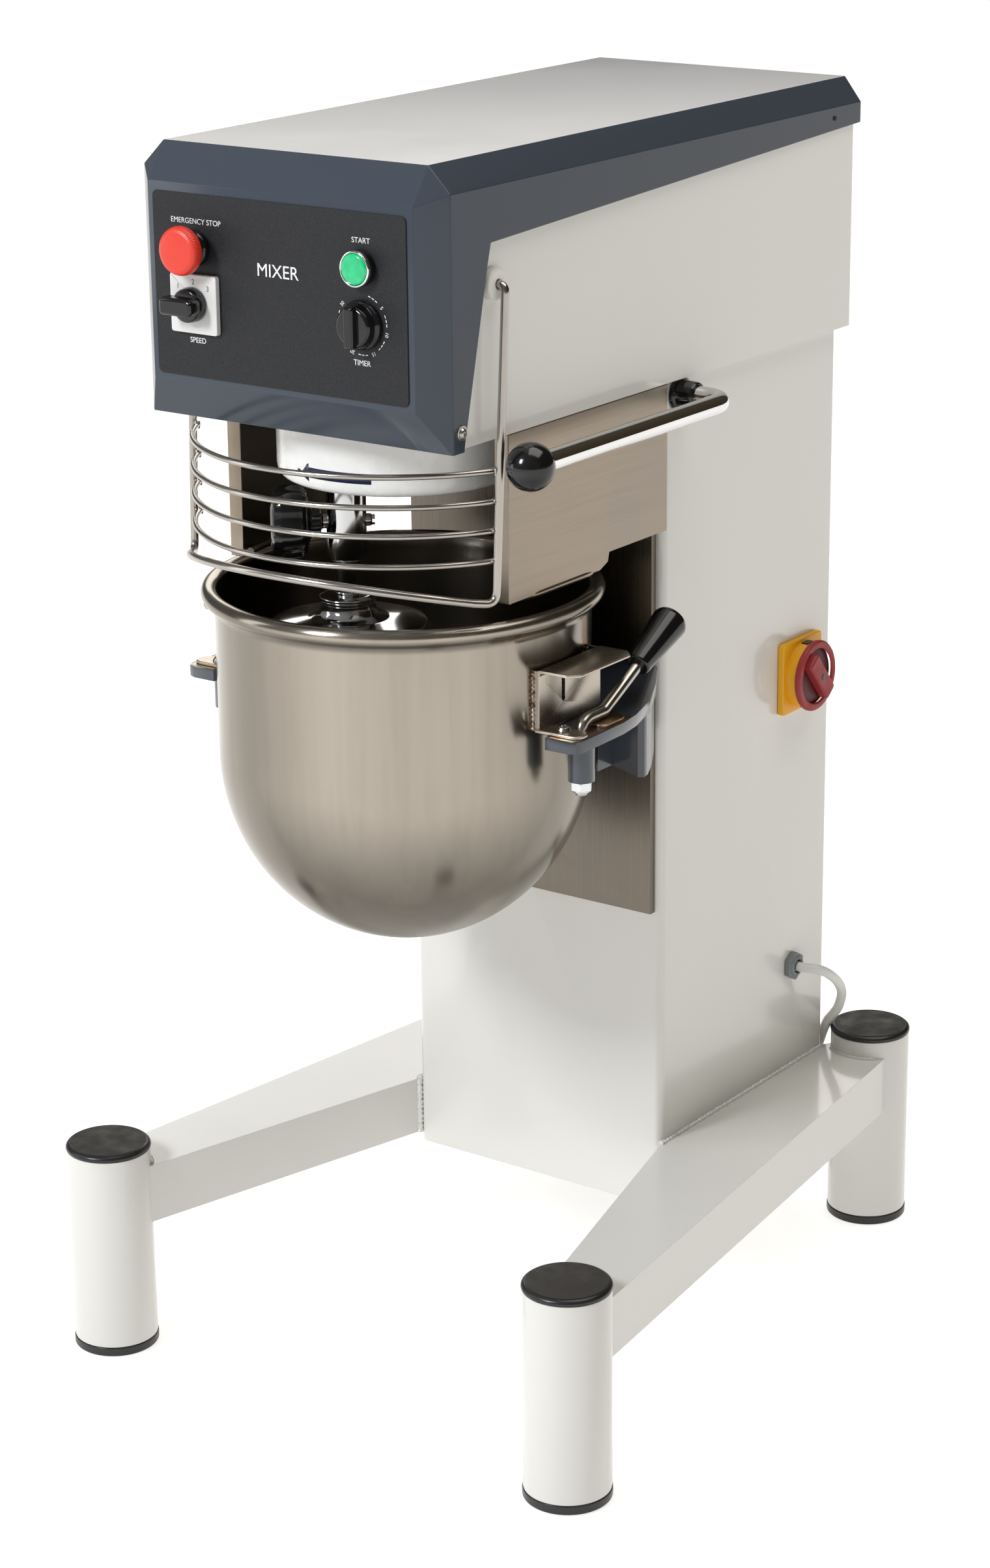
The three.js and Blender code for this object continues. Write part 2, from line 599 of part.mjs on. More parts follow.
// Bowl brackets: folded ears, with a slotted web, a top flange and a short foot that rests on the yoke.
function bowlBrackets() {
  const foot = DECK.top + GAP;
  const web = plate([[161.5, -212], [165, -212], [165, -122], [161.5, -122]], foot, 690);
  const roofOutline = [
    [162, -208], [170, -212], [192, -212], [201, -203], [201, -132], [192, -124], [162, -124],
  ];
  const roof = plate(roofOutline, 688, 690.5);
  const footOutline = [
    [162, -215.5], ...arc(197, -206.5, 9, -90, 0, 4), [206, -202], [200, -195.5], [162, -195.5],
  ];
  const footPlate = plate(footOutline, foot, foot + 3);
  const slot = block(v3(158, -179, 656), v3(168, -174, 680));
  const ends = [-212, -124.5].map((y) => block(v3(157, y, foot), v3(163, y + 2.5, 690)));
  const bowlRoom = bar(v3(0, BOWL_Y, 600), v3(0, BOWL_Y, 700), BOWL.radius + GAP, 28);
  const bracket = cut(join(web, roof, footPlate, ...ends), slot, bowlRoom);
  for (const [name, side] of SIDES) piece(`bowl_bracket_${name}`, mirrorIn(side, bracket), STAINLESS);
}

const bothSides = (half) => [...half, ...half.map(([x, y]) => [-x, y]).reverse()];

// Bowl yoke: a cast crescent with a boss below each tip and a deep web that runs back to the slide.
function bowlYoke() {
  const outerHalf = [
    [177, -222], [199, -222], [206, -219], [208.5, -212], [207, -150],
    [203, -125], [190, -84], [168, -42], [140, 4],
  ];
  const deckOutline = [...bothSides(outerHalf), ...arc(0, BOWL_Y, 168, 185, -5, 20)];
  const deck = plate(deckOutline, DECK.low, DECK.top);
  const webHalf = [
    [151, -106], [151, -84], [188, -100], [192.5, -97], [190.5, -88], [179.5, -66], [161, -34],
    [138, 2],
  ];
  const web = plate([...bothSides(webHalf), ...arc(0, BOWL_Y, 160, 150, 30, 14)], 572, DECK.low + 1);
  const upright = (x, low, high, radius, sides) =>
    bar(v3(x, LOCK.y, low), v3(x, LOCK.y, high), radius, sides);
  const bosses = [-1, 1].map((side) => upright(side * LOCK.x, LOCK.bossLow, DECK.low + 3, 11.5, 16));
  const neck = block(v3(-20, -2, 575), v3(20, 27, 625));
  const leverBore = upright(LOCK.x, LOCK.bossLow - 1, DECK.top + 1, 5.6, 12);
  const bowlRoom = bar(v3(0, BOWL_Y, 560), v3(0, BOWL_Y, 640), 166, 36);
  piece("bowl_yoke", cut(join(deck, web, neck, ...bosses), leverBore, bowlRoom), CASTING);
}

// Inside the column: a slide block on two guide rods, and the link that the lift crank pulls.
function liftMechanism() {
  const rods = [-1, 1].map((side) => bar(v3(side * 42, 45, 412), v3(side * 42, 45, 716), 8, 12));
  const behindWall = COLUMN.front + COLUMN.wall + GAP;
  const ends = [400, 712].map((z) => block(v3(-60, behindWall, z), v3(60, 58, z + 14)));
  piece("lift_guide", join(...rods, ...ends), IRON);
  const holes = [-1, 1].map((side) => bar(v3(side * 42, 45, 500), v3(side * 42, 45, 700), 8.5, 12));
  const slideBlock = cut(block(v3(-60, 27 + GAP, 560), v3(80, 60, 640)), ...holes);
  piece("slide_block", slideBlock, IRON);
  const strap = block(v3(60, 84, 590), v3(68, 96, 944));
  const tab = block(v3(60, 60 + GAP, 590), v3(68, 90, 620));
  piece("lift_link", join(strap, tab), STAINLESS);
}

// Lock lever: a bent rod with a nut below and a tapered grip, standing in the right tip of the yoke.
function lockLever() {
  const at = (y, z) => v3(LOCK.x, y, z);
  const elbow = at(-155, 645.5);
  const grip = at(-104.6, 672.4);
  const direction = grip.clone().sub(elbow).normalize();
  const foot = LOCK.bossLow - 13;
  const path = bend([at(LOCK.y, foot), at(LOCK.y, elbow.z), elbow, grip], 8, 3);
  const nut = bar(at(LOCK.y, LOCK.bossLow - 9.5), at(LOCK.y, LOCK.bossLow - 1), 9.6, 6);
  piece("lock_rod", join(swept(path, 5, 8), nut), STAINLESS);
  const along = (distance) => grip.clone().addScaledVector(direction, distance + GAP);
  const taper = bar(along(0), along(54), 10.5, 14, 16);
  const end = bar(along(54), along(62), 16, 14, 10);
  piece("lock_grip", join(taper, end), BLACK);
}

// Lift handle: a round bar from the column's side that turns forward and ends in a ball.
function liftHandle() {
  const { axisY, axisZ, crank } = LIFT;
  const ballY = -258;
  const corners = [v3(-100, axisY, axisZ), v3(190, axisY, axisZ), v3(190, ballY + 18, axisZ)];
  const washer = bar(v3(COLUMN.half + GAP + 9.5, axisY, axisZ), v3(COLUMN.half + 22, axisY, axisZ), 11, 16);
  piece("lift_handle", join(swept(bend(corners, 24, 5), 9, 12), washer), CHROME);
  const ring = (_, i) => {
    const angle = (Math.PI * (i + 1)) / 8;
    return [BALL_RADIUS * Math.sin(angle), -BALL_RADIUS * Math.cos(angle)];
  };
  const profile = [[0, -BALL_RADIUS], ...Array.from({ length: 7 }, ring), [0, BALL_RADIUS]];
  const sphere = turned(profile, v3(190, ballY, axisZ), "y", 20);
  const seat = block(v3(180, ballY + 17.5, 860), v3(200, 0, 890));
  piece("ball_knob", cut(sphere, seat), BLACK);
  const pinAngle = THREE.MathUtils.degToRad(55);
  const pin = v3(0, axisY + crank * Math.cos(pinAngle), axisZ + crank * Math.sin(pinAngle));
  const at = (x, point) => v3(x, point.y, point.z);
  const axle = v3(0, axisY, axisZ);
  const arm = join(
    bar(at(72, axle), at(84, axle), 17, 16),
    bar(at(72, pin), at(84, pin), 10, 12),
    block(v3(72, axisY - 9, axisZ), v3(84, axisY + 9, axisZ + crank))
      .translate([0, -axisY, -axisZ])
      .rotate([-35, 0, 0])
      .translate([0, axisY, axisZ]),
  );
  piece("lift_crank", cut(arm, bar(at(70, axle), at(90, axle), 9.3, 16)), IRON);
}

// Wire guard: a bent rail hung from two bushes, with four thinner rings welded inside it.
function wireGuard() {
  const { pivotY, pivotZ, rod, wire, ring, rail } = GUARD;
  const reach = HEAD.half + GAP + 8;
  const boss = [[rod + 0.5, -8], [13, -8], [13, -1.5], [11.5, 0], [rod + 0.5, 0]];
  for (const [name, side] of SIDES) {
    const bush = turned(boss, v3(reach, pivotY, pivotZ), "x", 20);
    piece(`guard_bush_${name}`, mirrorIn(side, bush), WHITE);
  }
  const railHeight = (y) => 756 + 0.25 * (-262 - y);
  const front = arc(0, BOWL_Y, rail, -28.1, -151.9, 14).map(([x, y]) => v3(x, y, railHeight(y)));
  const down = bend([v3(148.6, pivotY, pivotZ), v3(161.5, pivotY, pivotZ), v3(158.5, -261.6, 772)], 7, 3);
  const points = [
    ...down, v3(158.3, -262.6, 763), ...front.slice(1, -1), v3(-158.3, -262.6, 763),
    ...down.map((p) => v3(-p.x, p.y, p.z)).reverse(),
  ];
  const rings = [792, 817, 841, 866].map((z) =>
    swept(arc(0, BOWL_Y, ring, -26.5, -153.5, 12).map(([x, y]) => v3(x, y, z)), wire, 6),
  );
  piece("guard_wires", join(swept(points, rod, 6), ...rings), STAINLESS);
}

// Main switch on the column's right side.
function isolator() {
  const face = COLUMN.half + GAP;
  const { y, z } = ISOLATOR;
  const half = 34;
  const outline = roundedRect(y - half, z - half, y + half, z + half, 3);
  const backPlate = plate(outline, face, face + 6.5, "x");
  const collar = turned([[6, 6], [31, 6], [30.5, 17.2], [6, 17.2]], v3(face, y, z), "x", 24);
  const bore = bar(v3(face - 1, y, z), v3(face + 30, y, z), 6, 12);
  piece("isolator_base", cut(join(backPlate, collar), bore), YELLOW);
  const handle = [
    [0, 2], [5.5, 2], [5.5, 17.5], [33.5, 17.5], [33.5, 21.3], [31.5, 23.3], [26.5, 23.3],
    [25.5, 20.2], [0, 20.2],
  ];
  const grip = block(v3(face + 19, y - 8, z - 25), v3(face + 29.5, y + 8, z + 25))
    .translate([0, -y, -z])
    .rotate([40, 0, 0])
    .translate([0, y, z]);
  piece("isolator_handle", join(turned(handle, v3(face, y, z), "x", 24), grip), RED);
}

// Mains cable: gland, free run, coil and plug behind the machine.
function mainsCable() {
  const { y, z } = GLAND;
  const face = COLUMN.half + GAP;
  const nut = bar(v3(face, y, z), v3(face + 6, y, z), 14.5, 6);
  const dome = bar(v3(face + 6, y, z), v3(face + 8.5, y, z), 9.5, 12, 7.5);
  const bore = bar(v3(face - 1, y, z), v3(face + 20, y, z), CORD.radius + GAP, 12);
  piece("cable_gland", cut(join(nut, dome), bore), GREY_PLASTIC);
  const route = [
    [face + 0.6, y, z], [145, y, z], [151, y, z], [157, 243.8, 280.6], [164, 247, 280], [169, 253, 276.8],
    [172, 261, 270.8], [173, 270.5, 262.6], [172, 279.4, 253.5], [169, 287.4, 243.8],
    [164, 294.2, 233.2], [158, 299.4, 222], [150.5, 303.4, 212], [143.5, 306.8, 204],
    [138, 310, 195], [133, 312.6, 184], [128.5, 314, 170], [125, 315, 150], [121.5, 316.5, 120],
    [118, 319, 84],
    [110, 321.5, 50], [96, 322, 25], [78, 321.5, 11], [58, 320, 6], [36, 317.5, 5],
    [12, 315.4, 4.9], [-11, 314.2, 4.9],
  ].map(([px, py, pz]) => v3(px, py, pz));
  const curve = new THREE.CatmullRomCurve3(route, false, "centripetal");
  piece("mains_cable", swept(curve.getSpacedPoints(28), CORD.radius, 8), WHITE);
  const { radius, coilX, coilY, coilRadius, coilHeight } = CORD;
  const spread = 2 * radius + GAP;
  const inner = coilRadius - spread;
  const outer = coilRadius + spread;
  const coil = [[inner, 0], [outer, 0], [outer, coilHeight], [inner, coilHeight]];
  piece("cable_coil", turned(coil, v3(coilX, coilY, 0), "z", 24), WHITE);
  plug(coilX + 30, coilY + coilRadius + radius + 2.2, 19.2);
}

// Mains plug on its side behind the coil, two pins to the right.
function plug(x, y, z) {
  const profile = [[0, 0], [6.5, 0], [8, 22], [15, 27], [18.8, 30], [18.8, 62], [0, 62]];
  const body = turned(profile, v3(x, y, z), "x", 16);
  const pins = [-9.5, 9.5].map((offset) =>
    bar(v3(x + 61, y + offset, z), v3(x + 82, y + offset, z), 2.4, 8),
  );
  piece("plug", join(body, ...pins), WHITE);
}

legs();
baseBeams();
column();
facePlate();
headHousing();
hood();
controlPanel();
controls();
sideGuards();
gearHousing();
planetaryDrum();
beltDrive();
motor();
planetDrive();
whisk();
bowl();
bowlYoke();
liftMechanism();
lockLever();
liftHandle();
wireGuard();
isolator();
mainsCable();

export default mixer;
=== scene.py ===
"""Looks of a floor-standing planetary mixer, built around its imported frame.

Lengths and places in this file are millimetres in the frame's own axes: +Z up, the front faces -Y.
The mesh helpers turn them into the metres of the scene.
"""
import json
import math

import bmesh
import bpy
from mathutils import Matrix, Vector


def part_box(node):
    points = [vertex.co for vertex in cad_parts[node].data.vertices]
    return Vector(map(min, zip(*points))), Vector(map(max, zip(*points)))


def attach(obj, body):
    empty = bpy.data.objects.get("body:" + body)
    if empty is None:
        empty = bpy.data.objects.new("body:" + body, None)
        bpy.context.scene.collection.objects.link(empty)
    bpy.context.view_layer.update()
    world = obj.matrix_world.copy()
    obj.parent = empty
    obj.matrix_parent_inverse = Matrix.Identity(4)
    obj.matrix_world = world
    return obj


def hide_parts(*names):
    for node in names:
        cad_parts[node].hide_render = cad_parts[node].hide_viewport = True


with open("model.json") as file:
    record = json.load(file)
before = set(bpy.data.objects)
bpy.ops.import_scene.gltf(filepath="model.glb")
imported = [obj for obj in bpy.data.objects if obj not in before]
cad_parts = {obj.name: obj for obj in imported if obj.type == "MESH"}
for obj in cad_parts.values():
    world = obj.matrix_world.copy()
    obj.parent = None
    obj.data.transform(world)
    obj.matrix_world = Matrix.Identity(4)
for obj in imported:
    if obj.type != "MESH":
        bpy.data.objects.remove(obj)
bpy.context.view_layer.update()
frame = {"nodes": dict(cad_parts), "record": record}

MM = 0.001
BODIES = frame["record"]["behaviour"]["bodies"]
BODY_OF = {node: body for body, nodes in BODIES.items() for node in nodes}
SLOT_OF = {row["node"]: row["material_slot"] for row in frame["record"]["subparts"]}
X, Y, Z = Vector((1, 0, 0)), Vector((0, 1, 0)), Vector((0, 0, 1))


def span(node):
    """Lowest and highest corner of a CAD node, in millimetres."""
    low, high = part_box(node)
    return Vector(low) / MM, Vector(high) / MM


def centre(node):
    low, high = span(node)
    return (low + high) / 2


BOWL_LOW, BOWL_HIGH = span("bowl")
BOWL_AXIS = Vector((0, (BOWL_LOW.y + BOWL_HIGH.y) / 2, 0))
COLUMN_LOW, COLUMN_HIGH = span("column")
PANEL_FACE = span("control_panel")[0].y
PLATE_FACE = span("selector_plate")[0].y
SIDES = (("left", -1), ("right", 1))


# ---- materials

def set_inputs(node, **values):
    """Sets a node's input sockets. An underscore stands for the space in a socket's name."""
    for key, value in values.items():
        node.inputs[key.replace("_", " ")].default_value = value


def new_material(name, color, roughness, metallic=0.0, coat=0.0):
    """A material with a Principled shader; returns it with its node tree and shader."""
    material = bpy.data.materials.new(name)
    material.use_nodes = True
    tree = material.node_tree
    shader = tree.nodes["Principled BSDF"]
    set_inputs(shader, Base_Color=(*color, 1), Roughness=roughness, Metallic=metallic, Coat_Weight=coat)
    set_inputs(shader, Coat_Roughness=0.08)
    return material, tree, shader


def coordinates(tree, stretch=(1, 1, 1)):
    """Object coordinates, stretched by a factor along each axis."""
    source = tree.nodes.new("ShaderNodeTexCoord")
    mapping = tree.nodes.new("ShaderNodeMapping")
    set_inputs(mapping, Scale=stretch)
    tree.links.new(source.outputs["Object"], mapping.inputs["Vector"])
    return mapping.outputs["Vector"]


def noise(tree, vector, scale, detail=3.0, roughness=0.5):
    node = tree.nodes.new("ShaderNodeTexNoise")
    set_inputs(node, Scale=scale, Detail=detail, Roughness=roughness)
    tree.links.new(vector, node.inputs["Vector"])
    return node.outputs["Fac"]


def ramp(tree, value, *stops):
    """A colour ramp; each stop is (position, colour)."""
    node = tree.nodes.new("ShaderNodeValToRGB")
    elements = node.color_ramp.elements
    while len(elements) < len(stops):
        elements.new(0.5)
    for element, (position, color) in zip(elements, stops):
        element.position = position
        element.color = (*color, 1)
    tree.links.new(value, node.inputs["Fac"])
    return node.outputs["Color"]


def spread(tree, value, low, high, from_low=0.3, from_high=0.7):
    """Maps a noise value to a range of numbers."""
    node = tree.nodes.new("ShaderNodeMapRange")
    set_inputs(node, From_Min=from_low, From_Max=from_high, To_Min=low, To_Max=high)
    tree.links.new(value, node.inputs["Value"])
    return node.outputs["Result"]


def bumped(tree, shader, height, strength, distance, previous=None):
    node = tree.nodes.new("ShaderNodeBump")
    set_inputs(node, Strength=strength, Distance=distance)
    tree.links.new(height, node.inputs["Height"])
    if previous is not None:
        tree.links.new(previous, node.inputs["Normal"])
    tree.links.new(node.outputs["Normal"], shader.inputs["Normal"])
    return node.outputs["Normal"]


def tinted(color, factor):
    return tuple(min(1.0, c * factor) for c in color)


def mottled(tree, shader, color, scale, amount):
    """Slow variation of the base colour around its mean."""
    value = noise(tree, coordinates(tree), scale, 4)
    stops = ((0.35, tinted(color, 1 - amount)), (0.65, tinted(color, 1 + amount)))
    tree.links.new(ramp(tree, value, *stops), shader.inputs["Base Color"])


def patchy_gloss(tree, shader, scale, detail, low, high):
    """Patches of lower and higher roughness."""
    value = noise(tree, coordinates(tree), scale, detail)
    tree.links.new(spread(tree, value, low, high), shader.inputs["Roughness"])


def lumpy(tree, shader, scale, detail, strength, distance, previous=None):
    """Fine lumps all over the surface."""
    height = noise(tree, coordinates(tree), scale, detail)
    return bumped(tree, shader, height, strength, distance, previous)


def powder_coat(name, color, roughness, coat=0.5, peel=0.05, shine=0.5):
    """Sprayed and baked paint: faint orange peel, a little colour drift, patches of duller gloss."""
    material, tree, shader = new_material(name, color, roughness, coat=coat)
    set_inputs(shader, Specular_IOR_Level=shine)
    mottled(tree, shader, color, 4, 0.008)
    patchy_gloss(tree, shader, 9, 3, roughness * 0.93, roughness * 1.1)
    lumpy(tree, shader, 320, 1, peel, 0.00015)
    return material


def casting_paint():
    """Thick glossy paint over an as-cast surface."""
    color = (0.040, 0.050, 0.068)
    material, tree, shader = new_material("casting_paint", color, 0.2, coat=0.6)
    mottled(tree, shader, color, 18, 0.06)
    lumps = lumpy(tree, shader, 90, 2, 0.10, 0.0006)
    lumpy(tree, shader, 500, 2, 0.05, 0.0002, lumps)
    return material


def brushed(name, color, roughness, stretch, strength=0.18):
    """Brushed sheet: long fine scratches along one axis, a few smears and slow warm-cool drift."""
    material, tree, shader = new_material(name, color, roughness, metallic=1.0)
    lines = noise(tree, coordinates(tree, stretch), 1.0, 6, 0.7)
    smears = noise(tree, coordinates(tree), 9, 4)
    cool = tuple(c * f for c, f in zip(color, (0.94, 0.97, 1.0)))
    warm = tuple(c * f for c, f in zip(color, (1.06, 1.02, 0.96)))
    tree.links.new(ramp(tree, smears, (0.3, cool), (0.7, warm)), shader.inputs["Base Color"])
    tree.links.new(spread(tree, lines, roughness * 0.8, roughness * 1.25), shader.inputs["Roughness"])
    bumped(tree, shader, lines, strength, 0.0001)
    return material


def spun_steel():
    """Polished bowl: fine rings from spinning, faint smears and upright drip marks; its colour also holds a
    painted reflection, darker towards grazing views.
    """
    color = (0.40, 0.36, 0.305)
    material, tree, shader = new_material("spun_steel", color, 0.2, metallic=1.0)
    set_inputs(shader, Anisotropic=0.75, Anisotropic_Rotation=0.25)
    tangent = tree.nodes.new("ShaderNodeTangent")
    tangent.direction_type = "RADIAL"
    tangent.axis = "Z"
    tree.links.new(tangent.outputs["Tangent"], shader.inputs["Tangent"])
    rings = noise(tree, coordinates(tree, (3, 3, 900)), 1.0, 4, 0.6)
    drips = noise(tree, coordinates(tree, (60, 60, 3)), 1.0, 4, 0.55)
    smears = noise(tree, coordinates(tree, (1, 1, 0.5)), 12, 4, 0.6)
    stops = ((0.30, tinted(color, 0.93)), (0.5, color), (0.72, tinted(color, 1.03)))
    # Painted reflection: the base colour is darkened towards grazing views, standing in for dark
    # surroundings seen in the bowl's sides.
    weight = tree.nodes.new("ShaderNodeLayerWeight")
    set_inputs(weight, Blend=0.5)
    edge = ramp(tree, weight.outputs["Facing"], (0.1, (1.0,) * 3), (0.45, (0.6,) * 3), (0.95, (0.8,) * 3))
    shade = tree.nodes.new("ShaderNodeMix")
    shade.data_type = "RGBA"
    shade.blend_type = "MULTIPLY"
    set_inputs(shade, Factor=1.0)
    tree.links.new(ramp(tree, drips, *stops), shade.inputs[6])
    tree.links.new(edge, shade.inputs[7])
    tree.links.new(shade.outputs[2], shader.inputs["Base Color"])
    tree.links.new(spread(tree, smears, 0.17, 0.25), shader.inputs["Roughness"])
    bumped(tree, shader, rings, 0.04, 0.0001)
    return material


def bright_metal(name, color, roughness):
    """Chrome or polished bar: nearly clean, with a breath of haze."""
    material, tree, shader = new_material(name, color, roughness, metallic=1.0)
    patchy_gloss(tree, shader, 30, 3, roughness * 0.85, roughness * 1.2)
    mottled(tree, shader, color, 15, 0.02)
    return material


def heat_tint(name="heat_tinted_steel", scale=30):
    """Steel coloured by a torch: straw, brown and blue bands over grey."""
    material, tree, shader = new_material(name, (0.4, 0.3, 0.22), 0.3, metallic=1.0)
    value = noise(tree, coordinates(tree), scale, 3, 0.5)
    bands = (
        (0.32, (0.52, 0.48, 0.43)), (0.45, (0.55, 0.40, 0.24)), (0.55, (0.38, 0.20, 0.13)),
        (0.66, (0.28, 0.25, 0.30)), (0.78, (0.45, 0.43, 0.40)),
    )
    tree.links.new(ramp(tree, value, *bands), shader.inputs["Base Color"])
    lumpy(tree, shader, 500, 3, 0.15, 0.0003)
    return material


def weld_metal():
    """Bare weld bead: dark straw and brown with a rough skin."""
    material, tree, shader = new_material("weld_bead", (0.3, 0.22, 0.16), 0.45, metallic=1.0)
    value = noise(tree, coordinates(tree), 160, 4, 0.6)
    bands = ((0.35, (0.10, 0.075, 0.06)), (0.5, (0.34, 0.25, 0.18)), (0.68, (0.55, 0.50, 0.44)))
    tree.links.new(ramp(tree, value, *bands), shader.inputs["Base Color"])
    lumpy(tree, shader, 900, 3, 0.5, 0.0006)
    return material


def moulded(name, color, roughness, coat=0.0, grain=0.06, grain_scale=900):
    """Moulded plastic: a fine surface grain and a little variation in gloss."""
    material, tree, shader = new_material(name, color, roughness, coat=coat)
    mottled(tree, shader, color, 30, 0.04)
    patchy_gloss(tree, shader, 60, 4, roughness * 0.75, roughness * 1.3)
    lumpy(tree, shader, grain_scale, 2, grain, 0.0003)
    return material


def textured_film():
    """Control label: printed film with a coarse pebble grain."""
    color = (0.013, 0.0135, 0.016)
    material, tree, shader = new_material("label_film", color, 0.5)
    set_inputs(shader, Specular_IOR_Level=0.28)
    cells = tree.nodes.new("ShaderNodeTexVoronoi")
    set_inputs(cells, Scale=900)
    tree.links.new(coordinates(tree), cells.inputs["Vector"])
    speckle = ramp(tree, cells.outputs["Distance"], (0.1, tinted(color, 0.8)), (0.75, tinted(color, 1.7)))
    tree.links.new(speckle, shader.inputs["Base Color"])
    bumped(tree, shader, cells.outputs["Distance"], 0.22, 0.0003)
    return material


def lit_lens():
    """Green lens of the start button, faintly lit from behind."""
    material, tree, shader = new_material("green_lens", (0.0, 0.36, 0.13), 0.2, coat=0.5)
    set_inputs(shader, Emission_Color=(0.02, 0.75, 0.30, 1), Emission_Strength=0.22)
    mottled(tree, shader, (0.0, 0.40, 0.15), 150, 0.15)
    return material


def cast_iron():
    """Bare casting: dark grey with a sandy skin."""
    color = (0.16, 0.16, 0.165)
    material, tree, shader = new_material("cast_iron", color, 0.5, metallic=0.8)
    mottled(tree, shader, color, 60, 0.2)
    lumpy(tree, shader, 500, 4, 0.3, 0.0005)
    return material


CREAM = powder_coat("cream_paint", (0.765, 0.757, 0.718), 0.24)
SLATE = powder_coat("slate_paint", (0.054, 0.066, 0.086), 0.15, 0.0, 0.02, 0.28)
CASTING = casting_paint()
STAINLESS = brushed("stainless", (0.50, 0.455, 0.405), 0.28, (5, 1500, 1500), 0.08)
UPRIGHT_STAINLESS = brushed("stainless_upright_grain", (0.168, 0.148, 0.124), 0.30, (900, 900, 5), 0.14)
GUARD_SHEET = brushed("guard_sheet", (0.33, 0.28, 0.228), 0.34, (4, 6, 900), 0.05)
SPUN = spun_steel()
CHROME = bright_metal("chrome", (0.80, 0.80, 0.80), 0.06)
DRAWN = bright_metal("drawn_stainless", (0.45, 0.425, 0.39), 0.22)
POLISHED = bright_metal("polished_steel", (0.58, 0.585, 0.59), 0.09)
ZINC = bright_metal("zinc_plated", (0.72, 0.74, 0.76), 0.22)
TINT = heat_tint()
COPPER_TINT = heat_tint("copper_tinted_steel", 14)
WELD = weld_metal()
BLACK = moulded("black_plastic", (0.006, 0.006, 0.007), 0.14, coat=0.15, grain=0.01)
BLACK_CAP = moulded("black_cap_plastic", (0.016, 0.016, 0.017), 0.34, grain=0.1, grain_scale=500)
# The caps' flat top faces: lighter and rougher than the caps' sides.
CAP_FACE = moulded("pale_rough_cap_face", (0.040, 0.036, 0.032), 0.6, grain=0.15, grain_scale=300)
LABEL = textured_film()
RUBBER = moulded("rubber", (0.014, 0.014, 0.014), 0.7, grain=0.3)
WHITE = moulded("white_plastic", (0.88, 0.88, 0.865), 0.24, coat=0.3, grain=0.02)
BUSH = moulded("natural_nylon", (0.82, 0.81, 0.77), 0.35, grain=0.02)
SHEATH = moulded("cable_sheath", (0.84, 0.84, 0.81), 0.4, grain=0.04)
RED = moulded("red_plastic", (0.74, 0.040, 0.018), 0.38, coat=0.1, grain=0.03)
DARK_RED = moulded("red_handle_plastic", (0.34, 0.030, 0.034), 0.5, grain=0.06)
# Painted shade: the handle's red, darkened for the recess inside the isolator ring.
RECESS_SHADE_RED = moulded("red_recess_painted_shade", (0.10, 0.008, 0.010), 0.5, grain=0.06)
LENS = lit_lens()
YELLOW = moulded("yellow_plastic", (0.88, 0.44, 0.012), 0.38, grain=0.04)
GREY = moulded("grey_plastic", (0.20, 0.225, 0.235), 0.4, grain=0.05)
SILVER = moulded("selector_silver", (0.70, 0.70, 0.69), 0.4, grain=0.04)
MOTOR_PAINT = powder_coat("motor_paint", (0.16, 0.20, 0.24), 0.4)
IRON = cast_iron()
PRINT = moulded("white_print", (0.82, 0.82, 0.82), 0.5)
BLUE_PRINT = moulded("dark_blue_print", (0.012, 0.016, 0.055), 0.4)

SLOT_MATERIAL = {
    "cream_paint": CREAM, "slate_paint": SLATE, "casting_paint": CASTING, "stainless": STAINLESS,
    "polished_steel": SPUN, "chrome": CHROME, "cast_iron": IRON, "black_plastic": BLACK,
    "label_film": LABEL, "rubber": RUBBER, "white_plastic": WHITE, "cable_sheath": SHEATH,
    "red_plastic": RED, "green_lens": LENS, "yellow_plastic": YELLOW, "grey_plastic": GREY,
    "selector_silver": SILVER, "motor_paint": MOTOR_PAINT,
}


# ---- mesh helpers

def linked(name, data):
    """A new object in the scene."""
    piece = bpy.data.objects.new(name, data)
    bpy.context.collection.objects.link(piece)
    return piece


def add_object(name, bm, material, sharp_degrees=38):
    """Turns a bmesh in millimetres into an object in metres."""
    bmesh.ops.recalc_face_normals(bm, faces=bm.faces)
    bmesh.ops.scale(bm, vec=(MM, MM, MM), verts=bm.verts)
    mesh = bpy.data.meshes.new(name)
    bm.to_mesh(mesh)
    bm.free()
    mesh.materials.append(material)
    for polygon in mesh.polygons:
        polygon.use_smooth = True
    mesh.set_sharp_from_angle(angle=math.radians(sharp_degrees))
    return linked(name, mesh)


def rides(piece, node, *replaced, slot=None):
    """The piece moves with the body of a CAD node and may stand for CAD nodes; slot is not used."""
    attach(piece, BODY_OF[node])
    if replaced:
        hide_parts(*replaced)
    return piece


def stands_for(piece, node):
    return rides(piece, node, node)


def bevelled(piece, width, segments=3, angle=30):
    modifier = piece.modifiers.new("edges", "BEVEL")
    modifier.width = width * MM
    modifier.segments = segments
    modifier.limit_method = "ANGLE"
    modifier.angle_limit = math.radians(angle)
    modifier.miter_outer = "MITER_ARC"
    return piece


def eased(start, corner, end, steps):
    """Points on a curve from start to end, pulled towards the corner."""
    shares = [i / steps for i in range(steps + 1)]
    return [start * (1 - t) ** 2 + corner * 2 * t * (1 - t) + end * t ** 2 for t in shares]


def rounded(points, radius, steps=4):
    """A 2-D line of points with each inner corner rounded."""
    points = [Vector(p) for p in points]
    out = [points[0]]
    for before, corner, after in zip(points, points[1:], points[2:]):
        back, ahead = before - corner, after - corner
        setback = min(radius, back.length * 0.45, ahead.length * 0.45)
        start = corner + back.normalized() * setback
        end = corner + ahead.normalized() * setback
        out += eased(start, corner, end, steps)
    return [*out, points[-1]]


